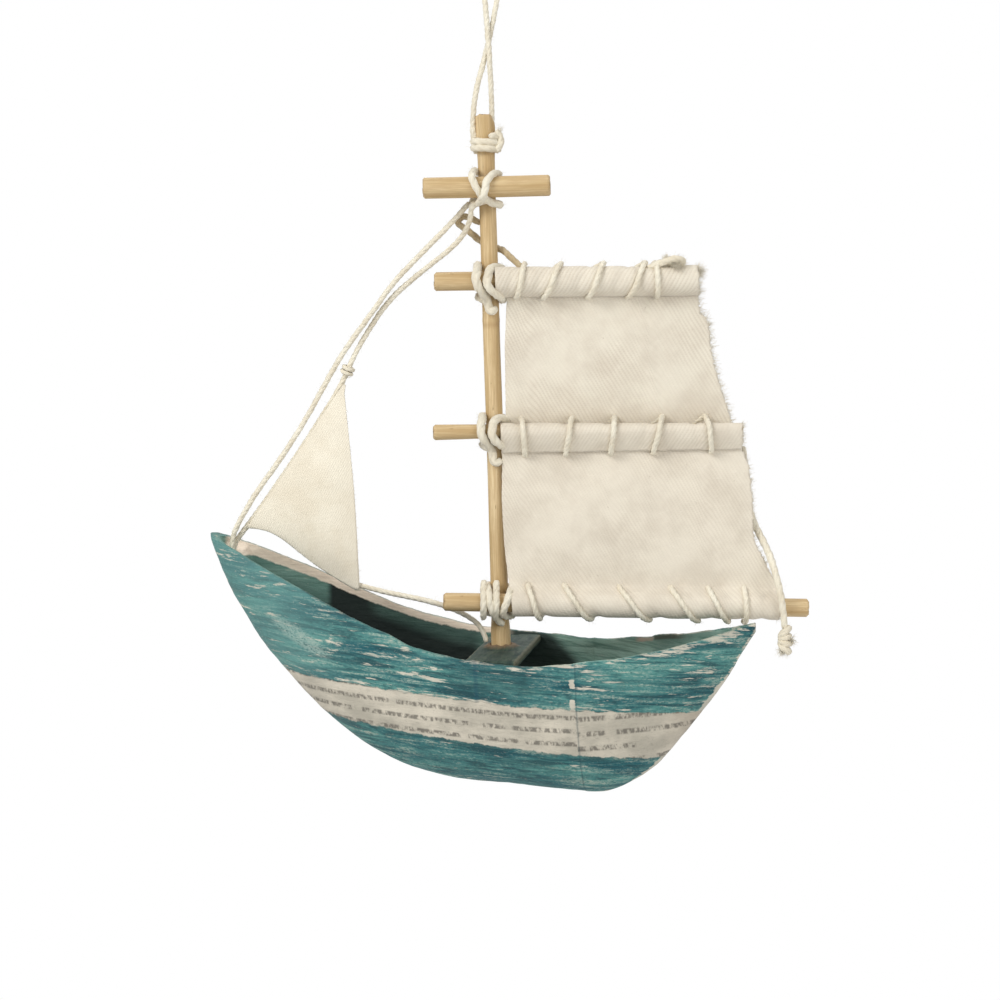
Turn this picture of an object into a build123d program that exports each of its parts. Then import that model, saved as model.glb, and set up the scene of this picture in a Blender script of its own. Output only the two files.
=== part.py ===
"""A paper ship ornament: a papier-mache hull with a bamboo mast and yards, cloth sails and cord rigging.

Millimetres, +Z up, bow at -X, stern at +X, port side (the side with the sails) at -Y.
The origin is the hang point, at the top of the hanger's loop.
"""
from build123d import *
from math import cos, hypot, pi, radians, sin, tan
import os

os.makedirs("parts", exist_ok=True)

# Hang point over the mast foot
hang_height = 139.6
hang_aft = 2.0

# Clearances
fit = 0.15
cord_gap = 0.1

# Hull
bow_reach = 59.3
stern_reach = 50.9
half_beam = 18.4
widest_aft = 6.0
bow_rise = 23.1
stern_rise = 3.6
sheer_dip = 1.65
draught = 30.0
hull_wall = 1.2
tip_half_breadth = 0.7
tip_depth = 1.5
bow_fill = 6.3
stern_fill = 4.5
mouth_lift = 6.0
section_count = 21
girth_sides = 12
stay_hole_aft = 4.3
stay_hole_depth = 3.5

# Shape of a cross-section, in shares of its half breadth and depth: the floor's spread and rise, the side's flare
floor_spread = 0.6
floor_rise = 0.02
side_spread = 0.97
side_height = 0.4

# Thwart
thwart_length = 10.4
thwart_thickness = 1.6
thwart_aft = 0.4
thwart_drop = 0.85

# Mast
mast_height = 105.1
mast_head_dia = 3.4
mast_shank_dia = 3.5
mast_foot_dia = 3.9
flare_bottom = 2.6
flare_top = 5.2
head_bevel = 3.2

# The sail plan is swung about the mast, its outer ends to starboard
brace = 10.5

# Yards and boom: height at the mast, tilt, reach forward and aft, diameters
top_yard_height = 90.9
top_yard_tilt = -0.4
top_yard_fore = 12.6
top_yard_aft = 12.2
top_yard_dia = 4.1
upper_yard_height = 72.55
upper_yard_tilt = -1.2
upper_yard_fore = 11.0
upper_yard_aft = 39.4
upper_yard_dia = 3.7
middle_yard_height = 42.9
middle_yard_tilt = -0.9
middle_yard_fore = 12.1
middle_yard_aft = 49.2
middle_yard_dia = 3.1
middle_yard_tip_dia = 1.3
boom_height = 8.75
boom_tilt = -2.85
boom_fore = 11.2
boom_aft = 61.6
boom_dia = 3.6
stick_ease = 0.35

# Sails: cloth, slack of each hem round its stick, and the pinch where its stitches draw it together
cloth = 0.55
sail_gap = 0.3
upper_slack = 0.25
middle_slack = 0.1
lower_slack = 0.2
upper_pinch = (1.0, -2.6)
middle_pinch = (0.9, -3.4)
lower_pinch = (1.1, 3.2)

# Outer edges of the sails, aft of the mast
upper_roll_end = 40.6
upper_leech = 43.2
upper_foot_end = 47.1
middle_hem_end = 49.0
lower_leech = 50.9
lower_foot_end = 56.2

# Stitches: aft of the mast at the top of the hem and at its foot
upper_stitches = [(6.9, 4.9), (14.1, 10.2), (22.5, 19.0), (30.7, 26.9), (32.6, 32.8)]
middle_stitches = [(5.3, 5.8), (15.4, 13.9), (23.9, 22.8), (33.4, 31.3), (41.9, 42.8)]
lower_stitches = [(5.6, 8.0), (12.9, 18.3), (23.7, 30.0), (34.0, 39.7), (41.5, 45.7), (48.8, 48.8)]
stitch_off = 0.9

# Jib, in the plane of the mast
jib_cloth = 0.45
jib_head = (-30.6, 52.8)
jib_tack = (-51.9, 23.9)
jib_clew = (-28.7, 11.4)
jib_tack_width = 3.8
jib_leech_hollow = 1.2

# Cords
cord_dia = 1.15
tail_dia = 1.5
knot_dia = 3.0
tail_knot_dia = 3.6
tail_knot_length = 5.0
head_turns = 2.15
head_turn_pitch = 1.22
cord_sides = 6
stick_sides = 16
chord_angle = 27

# Ends of the forestays: below the top yard, and into the hole in the bow
outer_stay_drop = 2.9
inner_stay_drop = 4.2
stay_end_depth = 2.5

# Sizes that follow from these
mast_radius = mast_shank_dia / 2
lashing_reach = mast_radius + cord_gap + cord_dia / 2
luff = mast_radius + cord_gap + cord_dia + 2 * fit
mast_base = -thwart_drop - thwart_thickness
swing = radians(brace)
across = (-sin(swing), cos(swing), 0)


# Places are given from the middle of the mast at the height of its foot
def at(x, y, z):
    return (x - hang_aft, y, z - hang_height)


def rig(x, y, z):
    """A place in the swung sail plan: x along the yards, y across them."""
    return at(x * cos(swing) - y * sin(swing), x * sin(swing) + y * cos(swing), z)


def along(tilt=0):
    """The direction of a yard with this tilt."""
    rise = radians(tilt)
    return (cos(swing) * cos(rise), sin(swing) * cos(rise), sin(rise))


def ramp(x, knots):
    """A smooth curve through knots, (x, value), with each slope taken from the neighbours."""
    slopes = []
    for i in range(len(knots)):
        a = knots[max(i - 1, 0)]
        b = knots[min(i + 1, len(knots) - 1)]
        slopes.append((b[1] - a[1]) / (b[0] - a[0]))
    i = 0
    while i < len(knots) - 2 and x > knots[i + 1][0]:
        i += 1
    (x0, v0), (x1, v1) = knots[i], knots[i + 1]
    span = x1 - x0
    t = (x - x0) / span
    start = (1 + 2 * t) * (1 - t) ** 2 * v0 + t * (1 - t) ** 2 * span * slopes[i]
    end = t * t * (3 - 2 * t) * v1 + t * t * (t - 1) * span * slopes[i + 1]
    return start + end


# Hull lines
def half_breadth(x):
    """Full and round towards the bow, nearly straight towards the stern."""
    if x < widest_aft:
        t = (widest_aft - x) / (widest_aft + bow_reach)
        share = max(1 - t**1.6, 0) ** 0.566
    else:
        t = (x - widest_aft) / (stern_reach - widest_aft)
        share = max(1 - t**1.45, 0)
    return tip_half_breadth + (half_beam - tip_half_breadth) * share


def sheer(x):
    """The rim's height over the thwart: a high bow, a low waist and a slight rise at the stern."""
    knots = [
        (-bow_reach, bow_rise),
        (-0.69 * bow_reach, 0.616 * bow_rise),
        (-0.47 * bow_reach, 0.331 * bow_rise),
        (-0.23 * bow_reach, 0.087 * bow_rise),
        (0, -0.36 * sheer_dip),
        (0.33 * stern_reach, -sheer_dip),
        (0.6 * stern_reach, -0.36 * sheer_dip),
        (0.79 * stern_reach, 0.29 * stern_rise),
        (stern_reach, stern_rise),
    ]
    return ramp(x, knots)


def keel(x):
    """The bottom's height: a long raked bow, a nearly flat run, and a straight raked stern."""
    knots = [
        (-bow_reach, bow_rise - tip_depth),
        (-0.93 * bow_reach, 0.489 * bow_rise),
        (-0.78 * bow_reach, -0.1 * draught),
        (-0.52 * bow_reach, -0.62 * draught),
        (-0.25 * bow_reach, -0.88 * draught),
        (0.1 * stern_reach, -0.96 * draught),
        (0.39 * stern_reach, -draught),
        (0.52 * stern_reach, -0.923 * draught),
        (0.63 * stern_reach, -0.78 * draught),
        (0.86 * stern_reach, -0.303 * draught),
        (stern_reach, stern_rise - tip_depth),
    ]
    return ramp(x, knots)


def girth(breadth, top, bottom):
    """Corners of half a cross-section from the keel to the rim, (breadth, height), on a Bezier curve."""
    depth = top - bottom
    poles = [
        (0, bottom),
        (floor_spread * breadth, bottom + floor_rise * depth),
        (side_spread * breadth, bottom + side_height * depth),
        (breadth, top),
    ]
    corners = []
    for i in range(girth_sides + 1):
        t = i / girth_sides
        weights = ((1 - t) ** 3, 3 * t * (1 - t) ** 2, 3 * t**2 * (1 - t), t**3)
        corners.append(tuple(sum(w * pole[k] for w, pole in zip(weights, poles)) for k in (0, 1)))
    return corners


def hull_section(x, inset, lift):
    """A cross-section of the hull, or of that form drawn in by inset with its top raised by lift."""
    breadth = half_breadth(x) - inset
    slope = keel(x + 0.5) - keel(x - 0.5) if inset else 0
    starboard = girth(breadth, sheer(x), keel(x) + inset * hypot(1, slope))
    if lift:
        starboard.append((breadth + lift / 4, sheer(x) + lift))
    port = [(-y, z) for y, z in reversed(starboard[1:])]
    with BuildSketch(Plane(at(x, 0, 0), x_dir=(0, 1, 0), z_dir=(1, 0, 0))) as section:
        with BuildLine():
            Polyline(*starboard, *port, close=True)
        make_face()
    return section.sketch.face()


def hull_sections(inset, lift):
    """The sections from bow to stern, closest together at the ends."""
    fore = -bow_reach + (bow_fill if inset else 0)
    aft = stern_reach - (stern_fill if inset else 0)
    middle = (fore + aft) / 2
    reach = (aft - fore) / 2
    steps = range(section_count)
    return [hull_section(middle - reach * cos(pi * i / (section_count - 1)), inset, lift) for i in steps]


def whittled(start, direction, profile):
    """A many-sided solid about the line from start in a direction. profile is pairs of radius and distance."""
    way = Vector(direction).normalized()
    with BuildPart() as made:
        for radius, distance in profile:
            with BuildSketch(Plane(Vector(start) + way * distance, z_dir=way)):
                RegularPolygon(radius, stick_sides)
        loft(ruled=True)
    return made.part


def stick(start, end, start_dia, end_dia, ease=stick_ease):
    """A bamboo stick from start to end, with its cut ends eased."""
    run = Vector(*end) - Vector(*start)
    profile = [
        (start_dia / 2 - ease, 0),
        (start_dia / 2, ease),
        (end_dia / 2, run.length - ease),
        (end_dia / 2 - ease, run.length),
    ]
    return whittled(start, run, profile)


def barrel(centre, direction, dia, length):
    """A knot pulled tight, as a short many-sided barrel with eased ends."""
    way = Vector(direction).normalized()
    start = Vector(centre) - way * (length / 2)
    with BuildPart() as made:
        with BuildSketch(Plane(start, z_dir=way)):
            RegularPolygon(dia / 2, stick_sides)
        extrude(amount=length)
        rims = made.faces().sort_by(Axis(start, way))
        chamfer(rims[0].edges() + rims[-1].edges(), 0.2 * dia)
    return made.part


def strand(points, dia=cord_dia):
    """A tight cord as a many-sided rod that follows points with mitred corners."""
    with BuildPart() as made:
        with BuildLine() as path:
            Polyline(*points)
        with BuildSketch(Plane(path.line @ 0, z_dir=path.line % 0)):
            RegularPolygon(dia / 2, cord_sides)
        sweep(path=path.line, transition=Transition.RIGHT)
    return made.part


def cord_tube(name, points, dia=cord_dia):
    """A free cord: straight runs joined by arcs as large as the runs allow."""
    places = [Vector(*p) for p in points]
    radii = []
    for a, b, c in zip(places, places[1:], places[2:]):
        turn = radians((b - a).get_angle(c - b))
        radii.append(0.45 * min((b - a).length, (c - b).length) / tan(turn / 2))
    with BuildPart() as made:
        with BuildLine() as path:
            FilletPolyline(*places, radius=radii)
        with BuildSketch(Plane(path.line @ 0, z_dir=path.line % 0)):
            RegularPolygon(dia / 2, cord_sides)
        sweep(path=path.line)
    length = sum(edge.length for edge in path.line.edges())
    share = made.part.volume / (cord_sides * sin(2 * pi / cord_sides) * dia**2 / 8 * length)
    print(name, "arc radii", [round(r, 1) for r in radii], "length", round(length, 1), "volume share", round(share, 3))
    return made.part


def spar_end(height, tilt, y, reach):
    """A point on a yard's axis, reach aft of the mast."""
    return rig(reach * cos(radians(tilt)), y, height + reach * sin(radians(tilt)))


def spar_y(dia):
    """A yard lies against the mast's port side."""
    return -(mast_radius + fit + dia / 2)


def round_spar(height, dia, x, angle, extra=0):
    """A cord's corner on a yard: 0 degrees is the front of the yard and 90 its top."""
    reach = (dia / 2 + extra + cord_gap + cord_dia / 2) / cos(radians(chord_angle))
    return rig(x, spar_y(dia) - reach * cos(radians(angle)), height + reach * sin(radians(angle)))


def round_mast(angle, height):
    """A cord's corner on the mast: 0 degrees is aft and 90 starboard."""
    reach = lashing_reach / cos(radians(chord_angle))
    return rig(reach * cos(radians(angle)), reach * sin(radians(angle)), height)


def cross_lashing(height, dia):
    """Two arms over the front of a yard that join below it and go once round the mast."""
    above = height + dia / 2 + cord_dia
    below = height - dia / 2 - cord_dia
    left = [(-0.8, -50), (-1.9, 0), (-2.3, 45), (-2.5, 90)]
    right = [(1.8, 90), (1.55, 45), (1.2, 0), (0.6, -50), (0.9, -90)]
    over_mast = [(190, -0.1), (145, 0.2), (90, 0.4), (35, 0.2), (-10, -0.1)]
    under_mast = [(-20, 0.2), (35, 0), (90, -0.2), (145, -0.4), (200, -0.5), (255, -0.6)]
    points = [round_spar(height, dia, x, angle) for x, angle in left]
    points += [round_mast(angle, above + lift) for angle, lift in over_mast]
    points += [round_spar(height, dia, x, angle) for x, angle in right]
    points += [round_mast(angle, below + lift) for angle, lift in under_mast]
    return strand(points)


def hem_section(height, tilt, dia, slack, pinch):
    """A hem round a stick, drawn together at its stitches, which lie at pinch, (y, z), from the stick."""
    inner_radius = dia / 2 + fit + slack
    far = Vector(*pinch).length
    near_pinch = (pinch[0] * (far - cloth) / far, pinch[1] * (far - cloth) / far)
    with BuildSketch() as outer:
        RegularPolygon(inner_radius + cloth, stick_sides, major_radius=False)
        with Locations(pinch):
            RegularPolygon(cloth, cord_sides)
    with BuildSketch() as inner:
        RegularPolygon(inner_radius, stick_sides, major_radius=False)
        with Locations(near_pinch):
            RegularPolygon(fit / 2, cord_sides)
    with BuildSketch(Plane(spar_end(height, tilt, spar_y(dia), luff), x_dir=across, z_dir=along(tilt))) as section:
        make_hull(outer.sketch.edges())
        make_hull(inner.sketch.edges(), mode=Mode.SUBTRACT)
    return section.sketch


def panel_section(top, foot):
    """The flat stretch of a sail between two points, (y, height), of the section."""
    with BuildSketch(Plane(rig(luff, 0, 0), x_dir=across, z_dir=along())) as section:
        with BuildLine():
            Polyline(
                (top[0] - cloth / 2, top[1]),
                (top[0] + cloth / 2, top[1]),
                (foot[0] + cloth / 2, foot[1]),
                (foot[0] - cloth / 2, foot[1]),
                close=True,
            )
        make_face()
    return section.sketch


def outline(points):
    """A block that trims a sail to an outline, (x, height), seen from the side."""
    with BuildPart() as made:
        with BuildSketch(Plane(at(0, 0, 0), x_dir=along(), z_dir=-Vector(*across))):
            with BuildLine():
                Polyline(*points, close=True)
            make_face()
        extrude(amount=half_beam, both=True)
    return made.part


def spar_height(height, tilt, x):
    return height + x * tan(radians(tilt))


def hem_reach(dia, slack):
    """From a stick's axis to the middle of a cord that lies on its hem."""
    return dia / 2 + fit + slack + cloth + cord_gap + cord_dia / 2


def hem_stitches(height, tilt, dia, slack, stitches, top, foot):
    """The corners of the lacing round a hem, and the short spans where it goes through the cloth.

    stitches are (x at the top, x at the foot). top and foot are (front y, back y, height from the yard).
    """
    points = []
    holes = []
    extra = fit + slack + cloth
    for i, (start, end) in enumerate(stitches):
        centre = spar_height(height, tilt, (start + end) / 2)
        third = (end - start) / 4
        top_front = rig(start, top[0], centre + top[2])
        foot_front = rig(end, foot[0], centre + foot[2])
        points.append(top_front)
        for k, angle in enumerate((45, 0, -45)):
            points.append(round_spar(centre, dia, start + (k + 1) * third, angle, extra))
        points.append(foot_front)
        foot_back = rig(end, foot[1], centre + foot[2])
        points.append(foot_back)
        holes.append((foot_front, foot_back))
        if i + 1 < len(stitches):
            after = stitches[i + 1][0]
            lift = spar_height(height, tilt, after) - centre
            points.append(rig(after, top[1], centre + lift + top[2]))
        holes.append((top_front, rig(start, top[1], centre + top[2])))
    return points, holes


def stitch_holes(*laces):
    """The holes that the lacings pass through."""
    with BuildPart() as made:
        for _, holes in laces:
            for hole in holes:
                add(strand(hole, cord_dia + 4 * cord_gap))
    return made.part


def eased(points, top_height, foot):
    """A stay's route with its top brought to a height and its end to foot, (x, height), the rest in proportion."""
    last = len(points) - 1
    top_shift = top_height - points[0][2]
    foot_shift = (foot[0] - points[last][0], foot[1] - points[last][2])
    moved = []
    for i, (x, y, z) in enumerate(points):
        share = i / last
        moved.append((x + share * foot_shift[0], y, z + (1 - share) * top_shift + share * foot_shift[1]))
    return moved


# Hull
with BuildPart() as hull:
    loft(hull_sections(0, 0), ruled=True)
    loft(hull_sections(hull_wall, mouth_lift), ruled=True, mode=Mode.SUBTRACT)
    hole_x = -bow_reach + stay_hole_aft
    with Locations(at(hole_x, 0, sheer(hole_x) - stay_hole_depth)):
        Cylinder(
            cord_dia + 2 * cord_gap,
            2 * stay_hole_depth,
            align=(Align.CENTER, Align.CENTER, Align.MIN),
            mode=Mode.SUBTRACT,
        )
hull.part.label = "hull"
export_step(hull.part, "parts/hull.step")

# Thwart, trimmed to the inside of the hull
with BuildPart() as thwart:
    with Locations(at(thwart_aft, 0, -thwart_drop - thwart_thickness / 2)):
        Box(thwart_length, 2 * half_beam, thwart_thickness)
    loft(hull_sections(hull_wall + fit, mouth_lift), ruled=True, mode=Mode.INTERSECT)
    with Locations(at(0, 0, -thwart_drop - thwart_thickness / 2)):
        Cylinder(mast_foot_dia / 2 + fit, 2 * thwart_thickness, mode=Mode.SUBTRACT)
thwart.part.label = "thwart"
export_step(thwart.part, "parts/thwart.step")

# Mast, through the thwart, with a flared foot and a whittled head
with BuildPart() as mast:
    mast_profile = [
        (mast_foot_dia / 2, 0),
        (mast_foot_dia / 2, flare_bottom - mast_base),
        (mast_radius, flare_top - mast_base),
        (mast_head_dia / 2, mast_height - mast_base),
    ]
    add(whittled(at(0, 0, mast_base), (0, 0, 1), mast_profile))
    with BuildSketch(Plane(at(0, 0, mast_height), x_dir=(1, 0, 0), z_dir=(0, -1, 0))):
        with BuildLine():
            Polyline((0.2, 0), (mast_head_dia, 0), (mast_head_dia, -head_bevel), (mast_radius - 0.3, -head_bevel), close=True)
        make_face()
    extrude(amount=mast_head_dia, both=True, mode=Mode.SUBTRACT)
mast.part.label = "mast"
export_step(mast.part, "parts/mast.step")

# Yards and boom
spars = {
    "top_yard": (top_yard_height, top_yard_tilt, top_yard_fore, top_yard_aft, top_yard_dia, top_yard_dia),
    "upper_yard": (upper_yard_height, upper_yard_tilt, upper_yard_fore, upper_yard_aft, upper_yard_dia, upper_yard_dia),
    "middle_yard": (
        middle_yard_height,
        middle_yard_tilt,
        middle_yard_fore,
        middle_yard_aft,
        middle_yard_dia,
        middle_yard_tip_dia,
    ),
    "boom": (boom_height, boom_tilt, boom_fore, boom_aft, boom_dia, boom_dia),
}
for spar_name, (height, tilt, fore, aft, dia, tip_dia) in spars.items():
    with BuildPart() as spar:
        ends = [spar_end(height, tilt, spar_y(dia), reach) for reach in (-fore, aft)]
        add(stick(*ends, dia, tip_dia))
    spar.part.label = spar_name
    export_step(spar.part, f"parts/{spar_name}.step")
    with BuildPart() as lashing:
        add(cross_lashing(height, dia))
    lashing.part.label = f"{spar_name}_lashing"
    export_step(lashing.part, f"parts/{spar_name}_lashing.step")

# Where the flat stretch of each sail begins and ends, (y, height)
upper_top = (spar_y(upper_yard_dia) + upper_pinch[0], upper_yard_height + upper_pinch[1])
middle_back = spar_y(middle_yard_dia) + middle_yard_dia / 2 + fit + middle_slack + cloth
upper_foot = (middle_back + sail_gap + cloth / 2, middle_yard_height - 1.2)
lower_top = (spar_y(middle_yard_dia) + middle_pinch[0], middle_yard_height + middle_pinch[1])
lower_foot = (spar_y(boom_dia) + lower_pinch[0], boom_height + lower_pinch[1] - cloth)
reach_off = cloth / 2 + cord_gap + cord_dia / 2
upper_reach = hem_reach(upper_yard_dia, upper_slack)
middle_reach = hem_reach(middle_yard_dia, middle_slack)
lower_reach = hem_reach(boom_dia, lower_slack)

# Lacings
upper_lace = hem_stitches(
    upper_yard_height,
    upper_yard_tilt,
    upper_yard_dia,
    upper_slack,
    upper_stitches,
    (spar_y(upper_yard_dia), spar_y(upper_yard_dia) + upper_reach, 1.1 * upper_reach),
    (upper_top[0] - reach_off - 0.3, spar_y(upper_yard_dia) + 1.08 * upper_reach, upper_pinch[1] - stitch_off),
)
middle_lace = hem_stitches(
    middle_yard_height,
    middle_yard_tilt,
    middle_yard_dia,
    middle_slack,
    middle_stitches,
    (upper_foot[0] - reach_off - 0.4, upper_foot[0] + reach_off, 1.17 * middle_reach),
    (lower_top[0] - reach_off - 0.3, upper_foot[0] + reach_off, middle_pinch[1] - stitch_off),
)
lower_lace = hem_stitches(
    boom_height,
    boom_tilt,
    boom_dia,
    lower_slack,
    lower_stitches,
    (lower_foot[0] - reach_off - 0.3, spar_y(boom_dia) + 1.08 * lower_reach, lower_pinch[1] + stitch_off),
    (spar_y(boom_dia), spar_y(boom_dia) + lower_reach, -1.09 * lower_reach),
)

with BuildPart() as upper_sail:
    extrude(
        hem_section(upper_yard_height, upper_yard_tilt, upper_yard_dia, upper_slack, upper_pinch),
        amount=2 * upper_roll_end,
    )
    extrude(
        panel_section(upper_top, upper_foot),
        amount=2 * upper_roll_end,
        dir=along(upper_yard_tilt),
    )
    add(
        outline(
            [
                (luff, upper_yard_height + 5),
                (upper_roll_end, upper_yard_height + 5),
                (upper_roll_end, upper_top[1]),
                (upper_roll_end + 0.4, upper_top[1] - 4),
                (upper_leech - 0.5, upper_top[1] - 5.4),
                (upper_leech, upper_top[1] - 11.6),
                (upper_leech + 1.7, upper_top[1] - 18.6),
                (upper_foot_end, upper_foot[1] + 2),
                (upper_foot_end, upper_foot[1]),
                (luff, upper_foot[1]),
            ]
        ),
        mode=Mode.INTERSECT,
    )
    add(stitch_holes(upper_lace, middle_lace), mode=Mode.SUBTRACT)
upper_sail.part.label = "upper_sail"
export_step(upper_sail.part, "parts/upper_sail.step")

with BuildPart() as lower_sail:
    extrude(
        hem_section(middle_yard_height, middle_yard_tilt, middle_yard_dia, middle_slack, middle_pinch),
        amount=2 * middle_hem_end,
    )
    extrude(panel_section(lower_top, lower_foot), amount=2 * middle_hem_end)
    extrude(hem_section(boom_height, boom_tilt, boom_dia, lower_slack, lower_pinch), amount=2 * middle_hem_end)
    add(
        outline(
            [
                (luff, middle_yard_height + 5),
                (middle_hem_end, middle_yard_height + 5),
                (middle_hem_end, lower_top[1]),
                (lower_leech - 0.6, lower_top[1] - 4.6),
                (lower_leech, lower_top[1] - 11.5),
                (lower_leech, lower_top[1] - 19),
                (lower_leech + 1.8, lower_top[1] - 23),
                (lower_foot_end, boom_height),
                (lower_foot_end - 0.8, boom_height - 8),
                (luff, boom_height - 8),
            ]
        ),
        mode=Mode.INTERSECT,
    )
    add(stitch_holes(middle_lace, lower_lace), mode=Mode.SUBTRACT)
lower_sail.part.label = "lower_sail"
export_step(lower_sail.part, "parts/lower_sail.step")

for lace_name, lace in {"upper_lacing": upper_lace, "middle_lacing": middle_lace, "lower_lacing": lower_lace}.items():
    with BuildPart() as lacing:
        add(strand(lace[0]))
    lacing.part.label = lace_name
    export_step(lacing.part, f"parts/{lace_name}.step")

# Knot at the end of the upper lacing, on top of the roll
knot_x = upper_roll_end - 3.2
knot_off = upper_reach - cord_dia / 2 + knot_dia / 2
knot_y = spar_y(upper_yard_dia) - knot_off * cos(radians(70))
knot_z = spar_height(upper_yard_height, upper_yard_tilt, knot_x) + knot_off * sin(radians(70))
with BuildPart() as upper_lacing_knot:
    add(barrel(rig(knot_x, knot_y, knot_z), along(upper_yard_tilt), knot_dia, 1.4 * knot_dia))
upper_lacing_knot.part.label = "upper_lacing_knot"
export_step(upper_lacing_knot.part, "parts/upper_lacing_knot.step")

# Masthead lashing, two turns and a knot
head_low = mast_height - 6.9
head_high = head_low + head_turns * head_turn_pitch
with BuildPart() as masthead_lashing:
    turn_steps = int(head_turns * 360 / (2 * chord_angle))
    turn_angles = [-2 * chord_angle * i for i in range(turn_steps + 1)]
    add(strand([round_mast(angle, head_low - head_turn_pitch * angle / 360) for angle in turn_angles]))
    add(barrel(rig(lashing_reach + 0.8, -0.6, head_low + head_turn_pitch), (0, 0, 1), 2 * cord_dia, 2.6 * cord_dia))
masthead_lashing.part.label = "masthead_lashing"
export_step(masthead_lashing.part, "parts/masthead_lashing.step")

# Hanger, a doubled cord from the masthead lashing up to the loop that the ornament hangs by
loop_top = hang_height + cord_dia / 2
hanger_low = head_high + cord_dia
hanger_route = [
    (-2.45, -0.2, hanger_low),
    (-2.5, 0, hanger_low + 5.5),
    (0.55, 0.62, loop_top - 22.9),
    (3.1, 0.3, loop_top - 13),
    (4.2, 0, loop_top - 5.7),
    (4.3, 0, loop_top),
    (-0.3, 0, loop_top),
    (0.1, 0, loop_top - 5.7),
    (0.75, -0.3, loop_top - 13),
    (1.3, -0.62, loop_top - 22.9),
    (1.2, 0.9, hanger_low + 9.5),
    (1.0, 2.5, hanger_low + 4.4),
    (0.9, 2.42, hanger_low),
]
with BuildPart() as hanger_cord:
    add(cord_tube("hanger_cord", [at(*p) for p in hanger_route]))
hanger_cord.part.label = "hanger_cord"
export_step(hanger_cord.part, "parts/hanger_cord.step")

# Forestays, from the top yard's lashing into the hole in the bow
stay_foot = (hole_x, sheer(hole_x) - stay_end_depth)
outer_route = eased(
    [
        (-3.4, -1.7, 88.0),
        (-6.3, -1.2, 85.0),
        (-13.1, -0.5, 78.9),
        (-19.6, -0.5, 72.8),
        (-23.4, -0.7, 67.7),
        (-30.0, -0.2, 59.7),
        (-33.7, 0, 54.0),
        (-38.8, 0, 45.5),
        (-44.8, 0, 37.1),
        (-49.4, 0, 31.5),
        (-53.2, -0.3, 25.5),
        (-54.9, -0.62, 22.2),
        (-55.0, -0.62, 18.5),
    ],
    top_yard_height - outer_stay_drop,
    stay_foot,
)
inner_route = eased(
    [
        (-2.9, -2.9, 86.7),
        (-3.0, -2.2, 84.5),
        (-6.2, 0.3, 80.2),
        (-14.1, 0.5, 74.7),
        (-20.8, 0.6, 69.4),
        (-25.5, 0.7, 63.0),
        (-28.6, 0.8, 58.0),
        (-31.2, 0.95, 52.5),
        (-36.9, 0.95, 44.2),
        (-43.4, 0.95, 35.3),
        (-49.4, 0.95, 27.4),
        (-53.2, 0.8, 22.8),
        (-54.9, 0.62, 20.7),
        (-55.0, 0.62, 18.5),
    ],
    top_yard_height - inner_stay_drop,
    stay_foot,
)
with BuildPart() as forestay_outer:
    add(cord_tube("forestay_outer", [at(*p) for p in outer_route]))
forestay_outer.part.label = "forestay_outer"
export_step(forestay_outer.part, "parts/forestay_outer.step")

with BuildPart() as forestay_inner:
    add(cord_tube("forestay_inner", [at(*p) for p in inner_route]))
forestay_inner.part.label = "forestay_inner"
export_step(forestay_inner.part, "parts/forestay_inner.step")

# Jib, with a hollow leech
with BuildPart() as jib:
    with BuildSketch(Plane(at(0, 0, 0), x_dir=(1, 0, 0), z_dir=(0, -1, 0))):
        with BuildLine():
            luff_edge = Line(jib_tack, jib_head)
            leech_mid = ((jib_head[0] + jib_clew[0]) / 2 - jib_leech_hollow, (jib_head[1] + jib_clew[1]) / 2)
            leech = ThreePointArc(jib_head, leech_mid, jib_clew)
            foot_edge = Polyline(jib_clew, (jib_tack[0] + jib_tack_width, jib_tack[1] - 0.3), jib_tack)
        make_face()
    extrude(amount=jib_cloth / 2, both=True)
jib.part.label = "jib"
export_step(jib.part, "parts/jib.step")

# Knot of the jib's head, round the inner stay
with BuildPart() as jib_head_knot:
    stay_high = Vector(*at(*inner_route[6]))
    stay_low = Vector(*at(*inner_route[7]))
    knot_middle = stay_high + (stay_low - stay_high) * 0.45
    add(barrel(knot_middle, stay_low - stay_high, knot_dia, knot_dia))
    with Locations(Plane(knot_middle, z_dir=stay_low - stay_high)):
        Cylinder(cord_dia / 2 + 2 * cord_gap, 2 * knot_dia, mode=Mode.SUBTRACT)
jib_head_knot.part.label = "jib_head_knot"
export_step(jib_head_knot.part, "parts/jib_head_knot.step")

# Jib sheet, from the clew past the boom's fore end to the foot of the mast
sheet_route = [
    (jib_clew[0] - 1.0, 0.9, jib_clew[1] + 0.7),
    (-24.0, 0.4, 10.5),
    (-18.2, -0.5, 9.6),
    (-11.6, -1.6, 8.2),
    (-6.5, -1.2, 5.9),
    (-3.4, -0.8, 3.2),
    (-2.85, -0.7, 0.4),
]
with BuildPart() as jib_sheet:
    add(cord_tube("jib_sheet", [at(*p) for p in sheet_route]))
jib_sheet.part.label = "jib_sheet"
export_step(jib_sheet.part, "parts/jib_sheet.step")

# Hitch from the top roll behind the mast to the stays
hitch_route = [
    (4.6, -1.2, upper_yard_height + 5.05),
    (2.9, 1.4, upper_yard_height + 5.75),
    (0.7, 2.7, upper_yard_height + 6.75),
    (-1.8, 2.5, upper_yard_height + 8.05),
    (-3.9, 1.8, upper_yard_height + 10.05),
    (-6.6, 1.5, upper_yard_height + 11.85),
    (-4.2, 1.8, upper_yard_height + 13.45),
    (-1.6, 2.5, upper_yard_height + 11.45),
]
with BuildPart() as stay_hitch:
    add(strand([rig(*p) for p in hitch_route]))
stay_hitch.part.label = "stay_hitch"
export_step(stay_hitch.part, "parts/stay_hitch.step")

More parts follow.
